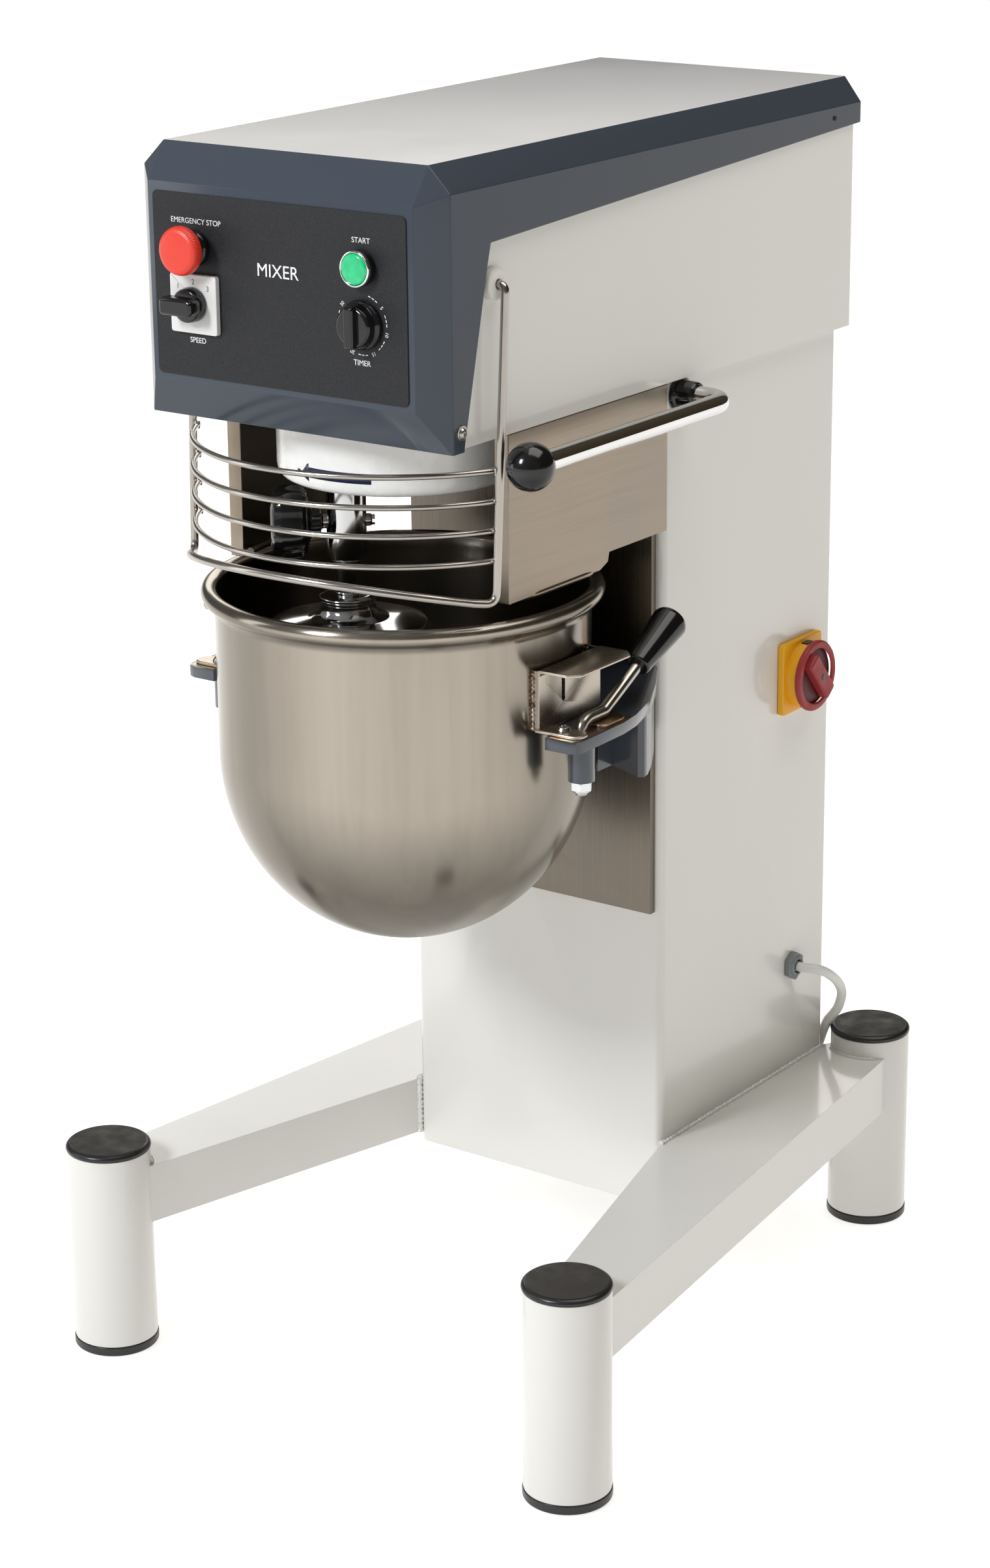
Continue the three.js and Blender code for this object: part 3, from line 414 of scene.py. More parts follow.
def rounded_loop(points, radius, steps):
    """A ring's section with its corners rounded. The first corner, hidden inside the part, is cut off."""
    return rounded([*points, points[0]], radius, steps)[1:-1]


def disc(radius, low, high, edge):
    """The section of a flat disc."""
    return rounded([(0, low), (radius, low), (radius, high), (0, high)], edge, 2)


def bridge(bm, low, high):
    """Faces between two rings of vertices. A ring may be a single vertex."""
    sides = max(len(low), len(high))
    for i in range(sides):
        j = (i + 1) % sides
        corners = [low[i % len(low)], low[j % len(low)], high[j % len(high)], high[i % len(high)]]
        unique = list(dict.fromkeys(corners))
        if len(unique) > 2:
            bm.faces.new(unique)


def lathe(name, profile, place, material, axis=Z, sides=72, closed=False, lobe=None, sharp=38):
    """A solid of revolution from (radius, height) pairs. lobe(angle) scales the radius."""
    bm = bmesh.new()
    turn = Z.rotation_difference(Vector(axis)).to_matrix()
    place = Vector(place)
    rings = []
    for radius, height in profile:
        if radius < 1e-6:
            rings.append([bm.verts.new(turn @ Vector((0, 0, height)) + place)])
            continue
        ring = []
        for i in range(sides):
            angle = 2 * math.pi * i / sides
            r = radius * (lobe(angle) if lobe else 1)
            point = Vector((r * math.cos(angle), r * math.sin(angle), height))
            ring.append(bm.verts.new(turn @ point + place))
        rings.append(ring)
    following = [*rings[1:], rings[0]] if closed else rings[1:]
    for low, high in zip(rings, following):
        bridge(bm, low, high)
    return add_object(name, bm, material, sharp)


def sweep_into(bm, points, radius, sides=16, wobble=None):
    """Adds a round section swept along points, with flat caps. wobble(i) scales the radius."""
    points = [Vector(p) for p in points]
    last = len(points) - 1
    tangents = []
    for i in range(last + 1):
        tangents.append((points[min(i + 1, last)] - points[max(i - 1, 0)]).normalized())
    side = tangents[0].orthogonal().normalized()
    rings = []
    for i, (point, tangent) in enumerate(zip(points, tangents)):
        if i:
            side = (tangents[i - 1].rotation_difference(tangent) @ side).normalized()
        across = tangent.cross(side)
        r = radius * (wobble(i) if wobble else 1)
        angles = (2 * math.pi * k / sides for k in range(sides))
        rings.append([bm.verts.new(point + r * (side * math.cos(a) + across * math.sin(a))) for a in angles])
    for low, high in zip(rings, rings[1:]):
        bridge(bm, low, high)
    bm.faces.new(rings[0])
    bm.faces.new(rings[-1])


def sweep(name, points, radius, material, sides=16, wobble=None):
    bm = bmesh.new()
    sweep_into(bm, points, radius, sides, wobble)
    return add_object(name, bm, material)


def bend(corners, radius, steps=8):
    """The corners of a bent rod in 3-D, each rounded with a bend radius."""
    corners = [Vector(c) for c in corners]
    out = [corners[0]]
    for before, corner, after in zip(corners, corners[1:], corners[2:]):
        into = (corner - before).normalized()
        away = (after - corner).normalized()
        setback = radius * math.tan(into.angle(away) / 2)
        out += eased(corner - into * setback, corner, corner + away * setback, steps)
    return [*out, corners[-1]]


def prism_into(bm, outline, low, high, axis="z"):
    """Adds an extruded outline. The outline lies across the axis: (x, y), (y, z) or (x, z)."""
    def at(point, level):
        a, b = point
        return {"z": (a, b, level), "x": (level, a, b), "y": (a, level, b)}[axis]
    bottom = [bm.verts.new(at(p, low)) for p in outline]
    top = [bm.verts.new(at(p, high)) for p in outline]
    bm.faces.new(bottom)
    bm.faces.new(list(reversed(top)))
    bridge(bm, bottom, top)


def prism(name, outline, low, high, material, axis="z", edge=0.0, segments=3):
    bm = bmesh.new()
    prism_into(bm, outline, low, high, axis)
    piece = add_object(name, bm, material)
    return bevelled(piece, edge, segments) if edge else piece


def rectangle(low_a, low_b, high_a, high_b, radius, steps=6):
    """The outline of a rectangle with round corners."""
    corners = (
        (high_a - radius, low_b + radius, -90), (high_a - radius, high_b - radius, 0),
        (low_a + radius, high_b - radius, 90), (low_a + radius, low_b + radius, 180),
    )
    out = []
    for a, b, start in corners:
        for i in range(steps + 1):
            angle = math.radians(start + 90 * i / steps)
            out.append((a + radius * math.cos(angle), b + radius * math.sin(angle)))
    return out


def softened(node, width, material, segments=3, angle=30, merged=True):
    """A copy of a CAD node's solid with its edges rounded. It stands for the node."""
    bm = bmesh.new()
    bm.from_mesh(frame["nodes"][node].data)
    bmesh.ops.remove_doubles(bm, verts=bm.verts, dist=1e-6)
    if merged:
        bmesh.ops.dissolve_limit(bm, angle_limit=math.radians(1), verts=bm.verts, edges=bm.edges)
    bmesh.ops.scale(bm, vec=(1 / MM,) * 3, verts=bm.verts)
    piece = bevelled(add_object(node + "_shell", bm, material), width, segments, angle)
    return stands_for(piece, node)


def ring_points(radius, height, start, end, steps, origin=None):
    """Points on an arc about a vertical axis; height may be a function of the point's y."""
    origin = origin or BOWL_AXIS
    out = []
    for i in range(steps + 1):
        angle = math.radians(start + (end - start) * i / steps)
        x = origin.x + radius * math.cos(angle)
        y = origin.y + radius * math.sin(angle)
        out.append(Vector((x, y, height(y) if callable(height) else height)))
    return out


def weld_bead(name, points, radius, material, node):
    """A rippled bead along a joint."""
    ripple = lambda i: 1 + 0.22 * math.sin(i * 1.9) + 0.1 * math.sin(i * 0.7 + 1)
    return rides(sweep(name, points, radius, material, 10, ripple), node)


def straight(start, end, step=1.5):
    """Evenly spaced points on a line."""
    start, end = Vector(start), Vector(end)
    count = max(2, round((end - start).length / step))
    return [start.lerp(end, i / count) for i in range(count + 1)]


# ---- camera

def make_camera():
    """Long lens from the front right, above the hood."""
    azimuth, elevation, roll = (math.radians(a) for a in (35.8, 18.3, -0.6))
    level = math.cos(elevation)
    back = Vector((math.sin(azimuth) * level, -math.cos(azimuth) * level, math.sin(elevation)))
    right = Vector((math.cos(azimuth), math.sin(azimuth), 0))
    facing = Matrix((right, back.cross(right), back)).transposed()
    data = bpy.data.cameras.new("camera")
    data.lens = 82.65
    data.sensor_width = 36
    camera = linked("camera", data)
    place = Matrix.Translation(Vector((1793.2, -2533.5, 1530.6)) * MM)
    camera.matrix_world = place @ (facing @ Matrix.Rotation(roll, 3, "Z")).to_4x4()
    bpy.context.scene.camera = camera


# ---- mains cable

CABLE_RADIUS = 4.7
CABLE_ROUTE = [
    (151, 242.7, 280.4), (157, 243.8, 280.6), (164, 247, 280), (169, 253, 276.8), (172, 261, 270.8),
    (173, 270.5, 262.6), (172, 279.4, 253.5), (169, 287.4, 243.8), (164, 294.2, 233.2), (158, 299.4, 222),
    (150.5, 303.4, 212), (143.5, 306.8, 204), (138, 310, 195), (133, 312.6, 184), (128.5, 314, 170),
    (125, 315, 150), (121.5, 316.5, 120), (118, 319, 84), (110, 321.5, 50), (96, 322, 25), (78, 321.5, 11),
    (58, 320, 6), (36, 317.5, 5), (12, 315.4, 4.9), (-11, 314.2, 4.9),
]


def coil_turns(middle, mean_radius, turns, steps_per_turn=28):
    """Neat turns beside and on each other: out, in, up, up, out and down again, from the near side."""
    step = 2 * CABLE_RADIUS + 0.05
    inner, outer = mean_radius - step / 2, mean_radius + step / 2
    low = CABLE_RADIUS + 0.2
    layers = [
        Vector((outer, low)), Vector((inner, low)), Vector((inner, low + step)),
        Vector((inner, low + 2 * step)), Vector((outer, low + 2 * step)), Vector((outer, low + step)),
    ]
    out = []
    for i in range(round(turns * steps_per_turn) + 1):
        progress = i / steps_per_turn
        index = min(int(progress), len(layers) - 1)
        following = layers[min(index + 1, len(layers) - 1)]
        share = min(1.0, max(0.0, (progress - index - 0.7) / 0.3))
        radius, height = layers[index].lerp(following, share * share * (3 - 2 * share))
        angle = math.radians(-90) - 2 * math.pi * progress
        out.append(middle + Vector((radius * math.cos(angle), radius * math.sin(angle), height)))
    return out


def smooth_line(points, per_span=4):
    """A Catmull-Rom line through given points."""
    points = [Vector(p) for p in points]
    padded = [points[0] * 2 - points[1], *points, points[-1] * 2 - points[-2]]
    out = []
    for a, b, c, d in zip(padded, padded[1:], padded[2:], padded[3:]):
        for i in range(per_span):
            t = i / per_span
            square = (2 * a - 5 * b + 4 * c - d) * t ** 2
            cube = (3 * b - a - 3 * c + d) * t ** 3
            out.append(0.5 * (2 * b + (c - a) * t + square + cube))
    out.append(points[-1])
    return out


def mains_cable():
    """One cable from the gland, down behind the column, into its coil and on to the plug."""
    exit_point = centre("cable_gland")
    exit_point.x = span("cable_gland")[1].x
    coil_low, coil_high = span("cable_coil")
    coil = Vector((*centre("cable_coil").xy, 0))
    mean_radius = (coil_high.x - coil_low.x) / 2 - CABLE_RADIUS * 2 - 0.3
    turns = coil_turns(coil, mean_radius, 5.5)
    plug_back = centre("plug")
    plug_back.x = span("plug")[0].x + 2
    tail_start = turns[-1]
    tail = [tail_start.lerp(plug_back, t) for t in (0.3, 0.6, 1.0)]
    for point, ease in zip(tail, (0.1, 0.55, 1.0)):
        point.z = tail_start.z + (plug_back.z - tail_start.z) * ease
    line = smooth_line([exit_point, *CABLE_ROUTE], 3)
    line += turns[2:] + smooth_line([turns[-1], *tail], 4)[1:]
    curve = bpy.data.curves.new("mains_cable", "CURVE")
    curve.dimensions = "3D"
    curve.bevel_depth = CABLE_RADIUS * MM
    curve.bevel_resolution = 5
    curve.use_fill_caps = True
    spline = curve.splines.new("POLY")
    spline.points.add(len(line) - 1)
    for slot_point, place in zip(spline.points, line):
        slot_point.co = (*(place * MM), 1)
    curve.materials.append(SHEATH)
    cable = rides(linked("mains_cable_flex", curve), "mains_cable", "mains_cable", "cable_coil")
    plug = plug_pieces()


def plug_pieces():
    """Two-pin moulded plug lying on the floor."""
    place = centre("plug")
    place.x = span("plug")[0].x
    body = [
        (0, 0), (5.5, 0), (6.2, 2), (5.4, 4), (6.4, 6), (5.8, 8), (7, 10), (6.4, 12), (8, 15), (9.5, 21),
        (14.5, 26), (18.5, 31), (18.7, 52), (17.5, 60), (17, 62), (0, 62),
    ]
    shell = stands_for(lathe("plug_body", rounded(body, 1.2, 3), place, WHITE, X, 56), "plug")
    pin = rounded([(0, 60), (2.4, 60), (2.4, 79), (1.2, 81), (0, 81)], 0.6, 3)
    pins = []
    for name, offset in (("a", -9.5), ("b", 9.5)):
        piece = lathe(f"plug_pin_{name}", pin, place + Y * offset, ZINC, X, 20)
        pins.append(rides(piece, "plug", slot="chrome"))
    return [shell, *pins]


# ---- base

def leg_circle(leg):
    """Middle of a leg on the floor, and its radius."""
    low, high = span(leg)
    return Vector((*(low.xy + high.xy) / 2, 0)), (high.x - low.x) / 2


def legs():
    """Each leg is a tube between a foot and a cap with a flat face, lighter and rougher than the cap."""
    for name in ("front_left", "front_right", "rear_left", "rear_right"):
        low, high = span(f"leg_{name}")
        place, radius = leg_circle(f"leg_{name}")
        proud = radius + 0.6
        tube = [(radius - 3, low.z), (radius, low.z), (radius, high.z), (radius - 3, high.z)]
        tube = lathe(f"leg_tube_{name}", rounded_loop(tube, 0.6, 2), place, CREAM, sides=96, closed=True)
        stands_for(tube, f"leg_{name}")
        node = f"leg_cap_{name}"
        rim = high.z + 0.3
        top = span(node)[1].z - 0.3
        cap = rounded([(0, top), (radius - 2, top), (proud, top - 2.4), (proud, rim), (0, rim)], 1.6, 4)
        stands_for(lathe(f"top_cap_{name}", cap, place, BLACK_CAP, sides=96), node)
        face = disc(radius - 3.4, top, top + 0.25, 0.15)
        rides(lathe(f"cap_face_{name}", face, place, CAP_FACE, sides=96), node)
        seat = low.z - 0.3
        foot = rounded([(0, 0), (radius - 1, 0), (proud, 1.6), (proud, seat), (0, seat)], 1.2, 4)
        stands_for(lathe(f"foot_ring_{name}", foot, place, BLACK_CAP, sides=96), f"foot_{name}")


def base():
    """Two tapered beams, welded to the column and to the legs."""
    for side, sign in SIDES:
        node = f"base_beam_{side}"
        softened(node, 2.4, CREAM)
        low, high = span(node)
        edge = sign * (COLUMN_HIGH.x + 0.4)
        corner = COLUMN_LOW.y + 1
        along_top = straight((edge, COLUMN_LOW.y, high.z), (edge, COLUMN_HIGH.y - 4, high.z))
        weld_bead(f"weld_top_{side}", along_top, 2.6, CREAM, node)
        up_front = straight((edge, corner, low.z), (edge, corner, high.z))
        weld_bead(f"weld_front_{side}", up_front, 3.0, CREAM, node)
        for end, middle, half in (("front", 90 + sign * 12, 44), ("rear", 270 - sign * 2, 42)):
            leg = f"leg_{end}_{side}"
            place, radius = leg_circle(leg)
            for level, z in (("top", high.z), ("low", low.z)):
                points = ring_points(radius + 0.4, z, middle - half, middle + half, 34, place)
                weld_bead(f"weld_{end}_{level}_{side}", points, 2.0, CREAM, leg)


def column_and_plate():
    softened("column", 1.2, CREAM)
    softened("face_plate", 1.3, UPRIGHT_STAINLESS)


# ---- head

def head():
    softened("head_housing", 1.2, CREAM)
    softened("hood", 2.6, SLATE, 4, 12)
    hood_screws()
    softened("control_panel", 0.3, LABEL, 2)


def hood_screws():
    """The hood is held by one screw at the front of each side; a small hole at the back is drawn as a black
    disc of painted shade.
    """
    for side, sign in SIDES:
        place = (sign * 154.2, -301, 905)
        button_screw(f"hood_screw_{side}", place, X * sign, 4.4, 2.6, "hood", washer=6.3)
        # Painted shade: a thin black disc on the hood's side stands for the dark inside of the hole.
        place = (sign * 151.6, 272.6, 1082.7)
        rides(lathe(f"hood_hole_{side}", disc(2.2, 0, 0.25, 0.1), place, RUBBER, X * sign, 24), "hood")


def button_screw(name, place, axis, radius, height, node, washer=0.0):
    """A button-head socket screw, with a washer under it if one is asked for."""
    seat = 1.2 if washer else 0.0
    profile = [
        (0, seat + height * 0.45), (radius * 0.42, seat + height * 0.45), (radius * 0.48, seat + height),
        (radius * 0.75, seat + height * 0.82), (radius, seat + height * 0.2), (radius, seat), (0, seat),
    ]
    rides(lathe(name, rounded(profile, 0.25, 3), place, DRAWN, axis, 36), node, slot="chrome")
    if washer:
        ring = disc(washer, 0, seat, 0.3)
        rides(lathe(name + "_washer", ring, place, DRAWN, axis, 40), node, slot="chrome")


# ---- controls

def printed(name, text, x, z, size, node="control_panel", material=PRINT, front=PANEL_FACE, turn=0.0):
    """Small raised print on a front face."""
    curve = bpy.data.curves.new(name, "FONT")
    curve.body = text
    curve.size = size * MM
    curve.extrude = 0.00004
    curve.align_x = "CENTER"
    curve.align_y = "CENTER"
    curve.materials.append(material)
    label = linked(name, curve)
    label.rotation_euler = (math.radians(90), turn, 0)
    label.location = Vector((x, front - 0.05, z)) * MM
    bpy.context.view_layer.update()
    return rides(label, node)


def dial(timer):
    """Minute numbers around the timer, with three dashes between each pair."""
    dash_corners = ((-0.35, -1), (0.35, -1), (0.35, 1), (-0.35, 1))
    bm = bmesh.new()
    for number in range(6):
        degrees = 38 - 51 * number
        angle = math.radians(degrees)
        minutes = str(5 * (number + 1))
        place = timer + Vector((24.4 * math.cos(angle), 0, 24.4 * math.sin(angle)))
        printed(f"timer_{minutes}", minutes, place.x, place.z, 4.4, turn=math.radians(90) - angle)
        for offset in (34, 25.5, 17):
            dash = math.radians(degrees + offset)
            out = Vector((math.cos(dash), math.sin(dash)))
            side = Vector((-out.y, out.x)) * 1.2
            middle = Vector((timer.x, timer.z)) + out * 24
            corners = [middle + out * a + side * b for a, b in dash_corners]
            prism_into(bm, corners, PANEL_FACE - 0.08, PANEL_FACE + 0.02, "y")
    rides(add_object("timer_dashes", bm, PRINT), "control_panel")


def controls():
    """Four controls on the label, each under or over its word."""
    stop = centre("estop_button")
    start = centre("start_button")
    speed = centre("selector_plate")
    timer = Vector((start.x, 0, speed.z))
    push_buttons((stop.x, 0, stop.z), (start.x, 0, start.z))
    softened("selector_plate", 0.8, SILVER)
    speed_knob(speed)
    timer_knob(timer)
    upper, lower, letters = 1055, 958.4, 6.2
    words = (
        ("EMERGENCY STOP", stop.x + 1, upper, letters), ("START", start.x, upper, letters),
        ("SPEED", speed.x - 0.5, lower, letters), ("TIMER", timer.x - 1, lower, letters),
        ("MIXER", 0, 1022, 15),
    )
    for word, x, z, size in words:
        printed("word_" + word.lower().replace(" ", "_"), word, x, z, size)
    for text, x, z in (("1", -15.5, 13.5), ("2", 0.5, 18), ("3", 15.5, 13.5)):
        printed(f"speed_{text}", text, speed.x + x, speed.z + z, 6, "selector_plate", BLACK_CAP, PLATE_FACE)
    dial(timer)


def push_buttons(stop, start):
    """Mushroom stop button with a ridged rim, and a lit start button in a thin bright rim."""
    back = PANEL_FACE - 0.3
    collar = [(6, -300), (6, -341.5), (13.4, -341.5), (15, -339), (15, back), (10.9, back), (10.9, -300)]
    collar = lathe("stop_collar", rounded_loop(collar, 0.8, 3), stop, BLACK, Y, 64, closed=True)
    stands_for(collar, "estop_collar")
    neck = [(0, -320), (5.6, -320), (5.6, -346.5), (10, -347.5), (18, -347.5), (18.4, -350), (0, -350)]
    rides(lathe("stop_neck", rounded(neck, 0.8, 3), stop, RED, Y, 64), "estop_button")
    mushroom = [
        (0, -348), (18.6, -348), (19.8, -350), (19.8, -354.5), (18.6, -357.6), (15.5, -359.3), (8, -359.8),
        (0, -359.9),
    ]
    ridges = lambda angle: 1 + 0.008 * math.cos(60 * angle)
    mushroom = rounded(mushroom, 1.2, 4)
    stands_for(lathe("stop_mushroom", mushroom, stop, RED, Y, 240, lobe=ridges, sharp=60), "estop_button")
    skirt = [(11, back), (14.4, back), (14.4, -342), (12.7, -342), (12.7, -338), (11, -337.8)]
    skirt = lathe("start_skirt", rounded_loop(skirt, 0.4, 2), start, BLACK, Y, 64, closed=True)
    rides(skirt, "start_bezel", slot="black_plastic")
    rim = [(12.5, -340), (12.5, -343.4), (13.2, -344.2), (14.2, -343.8), (14.5, -342.8), (14.5, -340.6)]
    rim = lathe("start_rim", rounded_loop(rim, 0.3, 3), start, CHROME, Y, 80, closed=True)
    stands_for(rim, "start_bezel")
    lens = [
        (0, -315), (9.4, -315), (9.4, -341.3), (12.2, -341.3), (12.2, -344), (11, -345), (6, -345.3),
        (0, -345.4),
    ]
    stands_for(lathe("start_lens", rounded(lens, 0.6, 3), start, LENS, Y, 80), "start_button")


def speed_knob(place):
    """Round hub with a long handle bar across it."""
    back = PLATE_FACE - 0.4
    hub = [(0, back), (14.4, back), (14.4, PLATE_FACE - 5), (13.4, -350), (0, -351)]
    hub = lathe("selector_hub", rounded(hub, 1.2, 4), (place.x, 0, place.z), BLACK, Y, 56)
    stands_for(hub, "speed_knob")
    outline = [
        (-19.8, -6), (-17, -7.3), (9, -7.3), (13.8, -5), (13.8, 5), (9, 7.3), (-17, 7.3), (-19.8, 6),
    ]
    outline = [(place.x + a, place.z + b) for a, b in outline]
    rides(prism("selector_bar", outline, -360, -346, BLACK, "y", 2.6, 5), "speed_knob")


def timer_knob(place):
    """Skirted knob with a raised finger bar."""
    hub = [(0, 0.4), (20, 0.4), (20, 4.2), (17.6, 6.4), (16.4, 13), (14.6, 14.6), (0, 14.6)]
    hub = rounded([(radius, PANEL_FACE - height) for radius, height in hub], 1.2, 4)
    stands_for(lathe("timer_hub", hub, (place.x, 0, place.z), BLACK, Y, 72), "timer_knob")
    outline = rectangle(place.x - 4.6, place.z - 16.8, place.x + 4.6, place.z + 16.8, 2.6)
    rides(prism("timer_bar", outline, PANEL_FACE - 20, PANEL_FACE - 12, BLACK, "y", 2.0, 5), "timer_knob")


# ---- drive

def drive():
    """White drum under the head, with the planet shaft and the tool that it carries round."""
    low, high = span("planetary_drum")
    radius = (high.x - low.x) / 2
    profile = [
        (12.4, low.z), (radius - 9, low.z), (radius - 2.6, low.z + 2.6), (radius, low.z + 9),
        (radius, high.z), (radius - 4, high.z), (radius - 4, low.z + 8), (12.4, low.z + 8),
    ]
    profile = rounded_loop(profile, 4.5, 6)
    drum = lathe("drum_shell", profile, BOWL_AXIS, WHITE, sides=128, closed=True, sharp=50)
    stands_for(drum, "planetary_drum")
    direction_arrow(radius + 0.15)
    shaft = Vector((*centre("whisk").xy, 0))
    planet(shaft)
    whisk(shaft)


def direction_arrow(radius):
    """Flat printed arrow on the drum's side that shows which way it turns."""
    start, head, tip = -66.3, -99.5, -108.0
    shoulder = (head + tip) / 2
    middle, half_bar, half_head = 847.2, 4.3, 7.5
    bm = bmesh.new()
    lower, upper = (
        [bm.verts.new(point) for point in ring_points(radius, middle + half, start, head, 14)]
        for half in (-half_bar, half_bar)
    )
    for corners in zip(lower, lower[1:], upper[1:], upper):
        bm.faces.new(corners)
    outline = (
        (head, -half_head), (head, half_head), (shoulder, half_head / 2), (tip, 0),
        (shoulder, -half_head / 2),
    )
    points = (ring_points(radius, middle + height, angle, angle, 1)[0] for angle, height in outline)
    bm.faces.new([bm.verts.new(point) for point in points])
    piece = add_object("turn_arrow", bm, BLUE_PRINT)
    modifier = piece.modifiers.new("thickness", "SOLIDIFY")
    modifier.thickness = 0.0002
    rides(piece, "planetary_drum")


def planet(shaft):
    """Tool socket with its clamping knob."""
    low = span("planet_shaft")[0].z
    socket = [(10.5, low), (15.6, low), (17, low + 1.6), (17, 834), (17, 858), (10.5, 858)]
    socket = rounded_loop(socket, 0.7, 3)
    rides(lathe("tool_socket", socket, shaft, POLISHED, sides=64, closed=True), "planet_shaft")
    out = (shaft - BOWL_AXIS).normalized()
    hub = shaft + Z * centre("clamp_knob").z
    boss = rounded([(0, 15), (6.5, 15), (6.5, 20), (4.2, 20.6), (4.2, 30), (0, 30)], 0.5, 3)
    rides(lathe("clamp_stud", boss, hub, DRAWN, out, 32), "clamp_knob", slot="chrome")
    lobes = lambda angle: 1 + 0.085 * math.cos(5 * angle)
    grip = [
        (0, 21.5), (11, 21.5), (12, 23), (12.6, 30), (18, 31.8), (25.5, 33.5), (29.4, 38), (30.2, 46),
        (29.6, 55), (26.5, 61.5), (18, 64.4), (9, 64), (0, 63.6),
    ]
    grip = lathe("clamp_grip", rounded(grip, 2.0, 4), hub, BLACK, out, 90, lobe=lobes, sharp=70)
    stands_for(grip, "clamp_knob")
    pin = rounded([(0, -14), (5.4, -14), (5.4, -20), (4.6, -21.6), (2.6, -22.4), (0, -22.6)], 0.6, 3)
    rides(lathe("socket_pin", pin, hub, DRAWN, out, 32), "planet_shaft")


def whisk(shaft):
    """Tool: stem, collar, wide disc, and a balloon of wires inside the bowl."""
    low, high = (corner.z for corner in span("whisk"))
    profile = [
        (0, 688.4), (58, 688.4), (66.5, 694), (67.8, 698), (67.4, 701), (60, 702.4), (34, 705), (27, 708),
        (23.5, 713), (22.4, 718), (24.8, 721), (25, 724), (20, 725.6), (10.6, 726.4), (10, 728), (10, high),
        (0, high),
    ]
    hub = lathe("whisk_hub", rounded(profile, 1.6, 4), shaft, POLISHED, sides=128, sharp=50)
    stands_for(hub, "whisk")
    half = [(50, 694), (57, 670), (63, 640), (66.5, 600), (64.5, 555), (55, 512), (38, 478), (18, 461)]
    bm = bmesh.new()
    count = 8
    for i in range(count):
        turn = math.pi * (i + 0.5) / count
        out = Vector((math.cos(turn), math.sin(turn), 0))
        line = [out * r + Z * z for r, z in half]
        line += [Z * (low + 2.4 + i * 0.5)]
        line += [out * -r + Z * z for r, z in reversed(half)]
        sweep_into(bm, [p + shaft for p in smooth_line(line, 4)], 1.9, 10)
    rides(add_object("whisk_wires", bm, CHROME), "whisk")


# ---- bowl and yoke

def bowl():
    """Spun shell with a rolled rim, between its two brackets."""
    bead = 7.2
    rim_z = BOWL_HIGH.z - bead
    ring = BOWL_HIGH.x - bead
    wall = 160.5
    bottom = BOWL_LOW.z
    depth = 169
    steps = 36
    def shell(inset):
        angles = (math.pi / 2 * i / steps for i in range(steps + 1))
        return [
            ((wall - inset) * math.sin(a), bottom + depth - (depth - inset) * math.cos(a)) for a in angles
        ]
    rim = []
    for i in range(17):
        angle = math.radians(-62 + (232 * i) / 16)
        rim.append((ring + bead * math.cos(angle), rim_z + bead * math.sin(angle)))
    profile = [
        *shell(0), (wall, rim_z - 16), (wall + 0.6, rim_z - 10), *rim, (wall - 2, rim_z - 6),
        (wall - 2, rim_z - 14), *reversed(shell(2)),
    ]
    stands_for(lathe("bowl_shell", profile, BOWL_AXIS, SPUN, sides=160, sharp=60), "bowl")
    for side, sign in SIDES:
        bracket(side, sign)


def carved(piece, cutters):
    """The piece with the cutting prisms taken out of it. Each is (outline, low, high, axis)."""
    for number, (outline, low, high, axis) in enumerate(cutters):
        bm = bmesh.new()
        prism_into(bm, outline, low, high, axis)
        tool = add_object(f"{piece.name}_cutter_{number}", bm, piece.data.materials[0])
        modifier = piece.modifiers.new("cut", "BOOLEAN")
        modifier.operation = "DIFFERENCE"
        modifier.object = tool
        graph = bpy.context.evaluated_depsgraph_get()
        mesh = bpy.data.meshes.new_from_object(piece.evaluated_get(graph))
        piece.modifiers.clear()
        piece.data = mesh
        bpy.data.objects.remove(tool)
    return piece


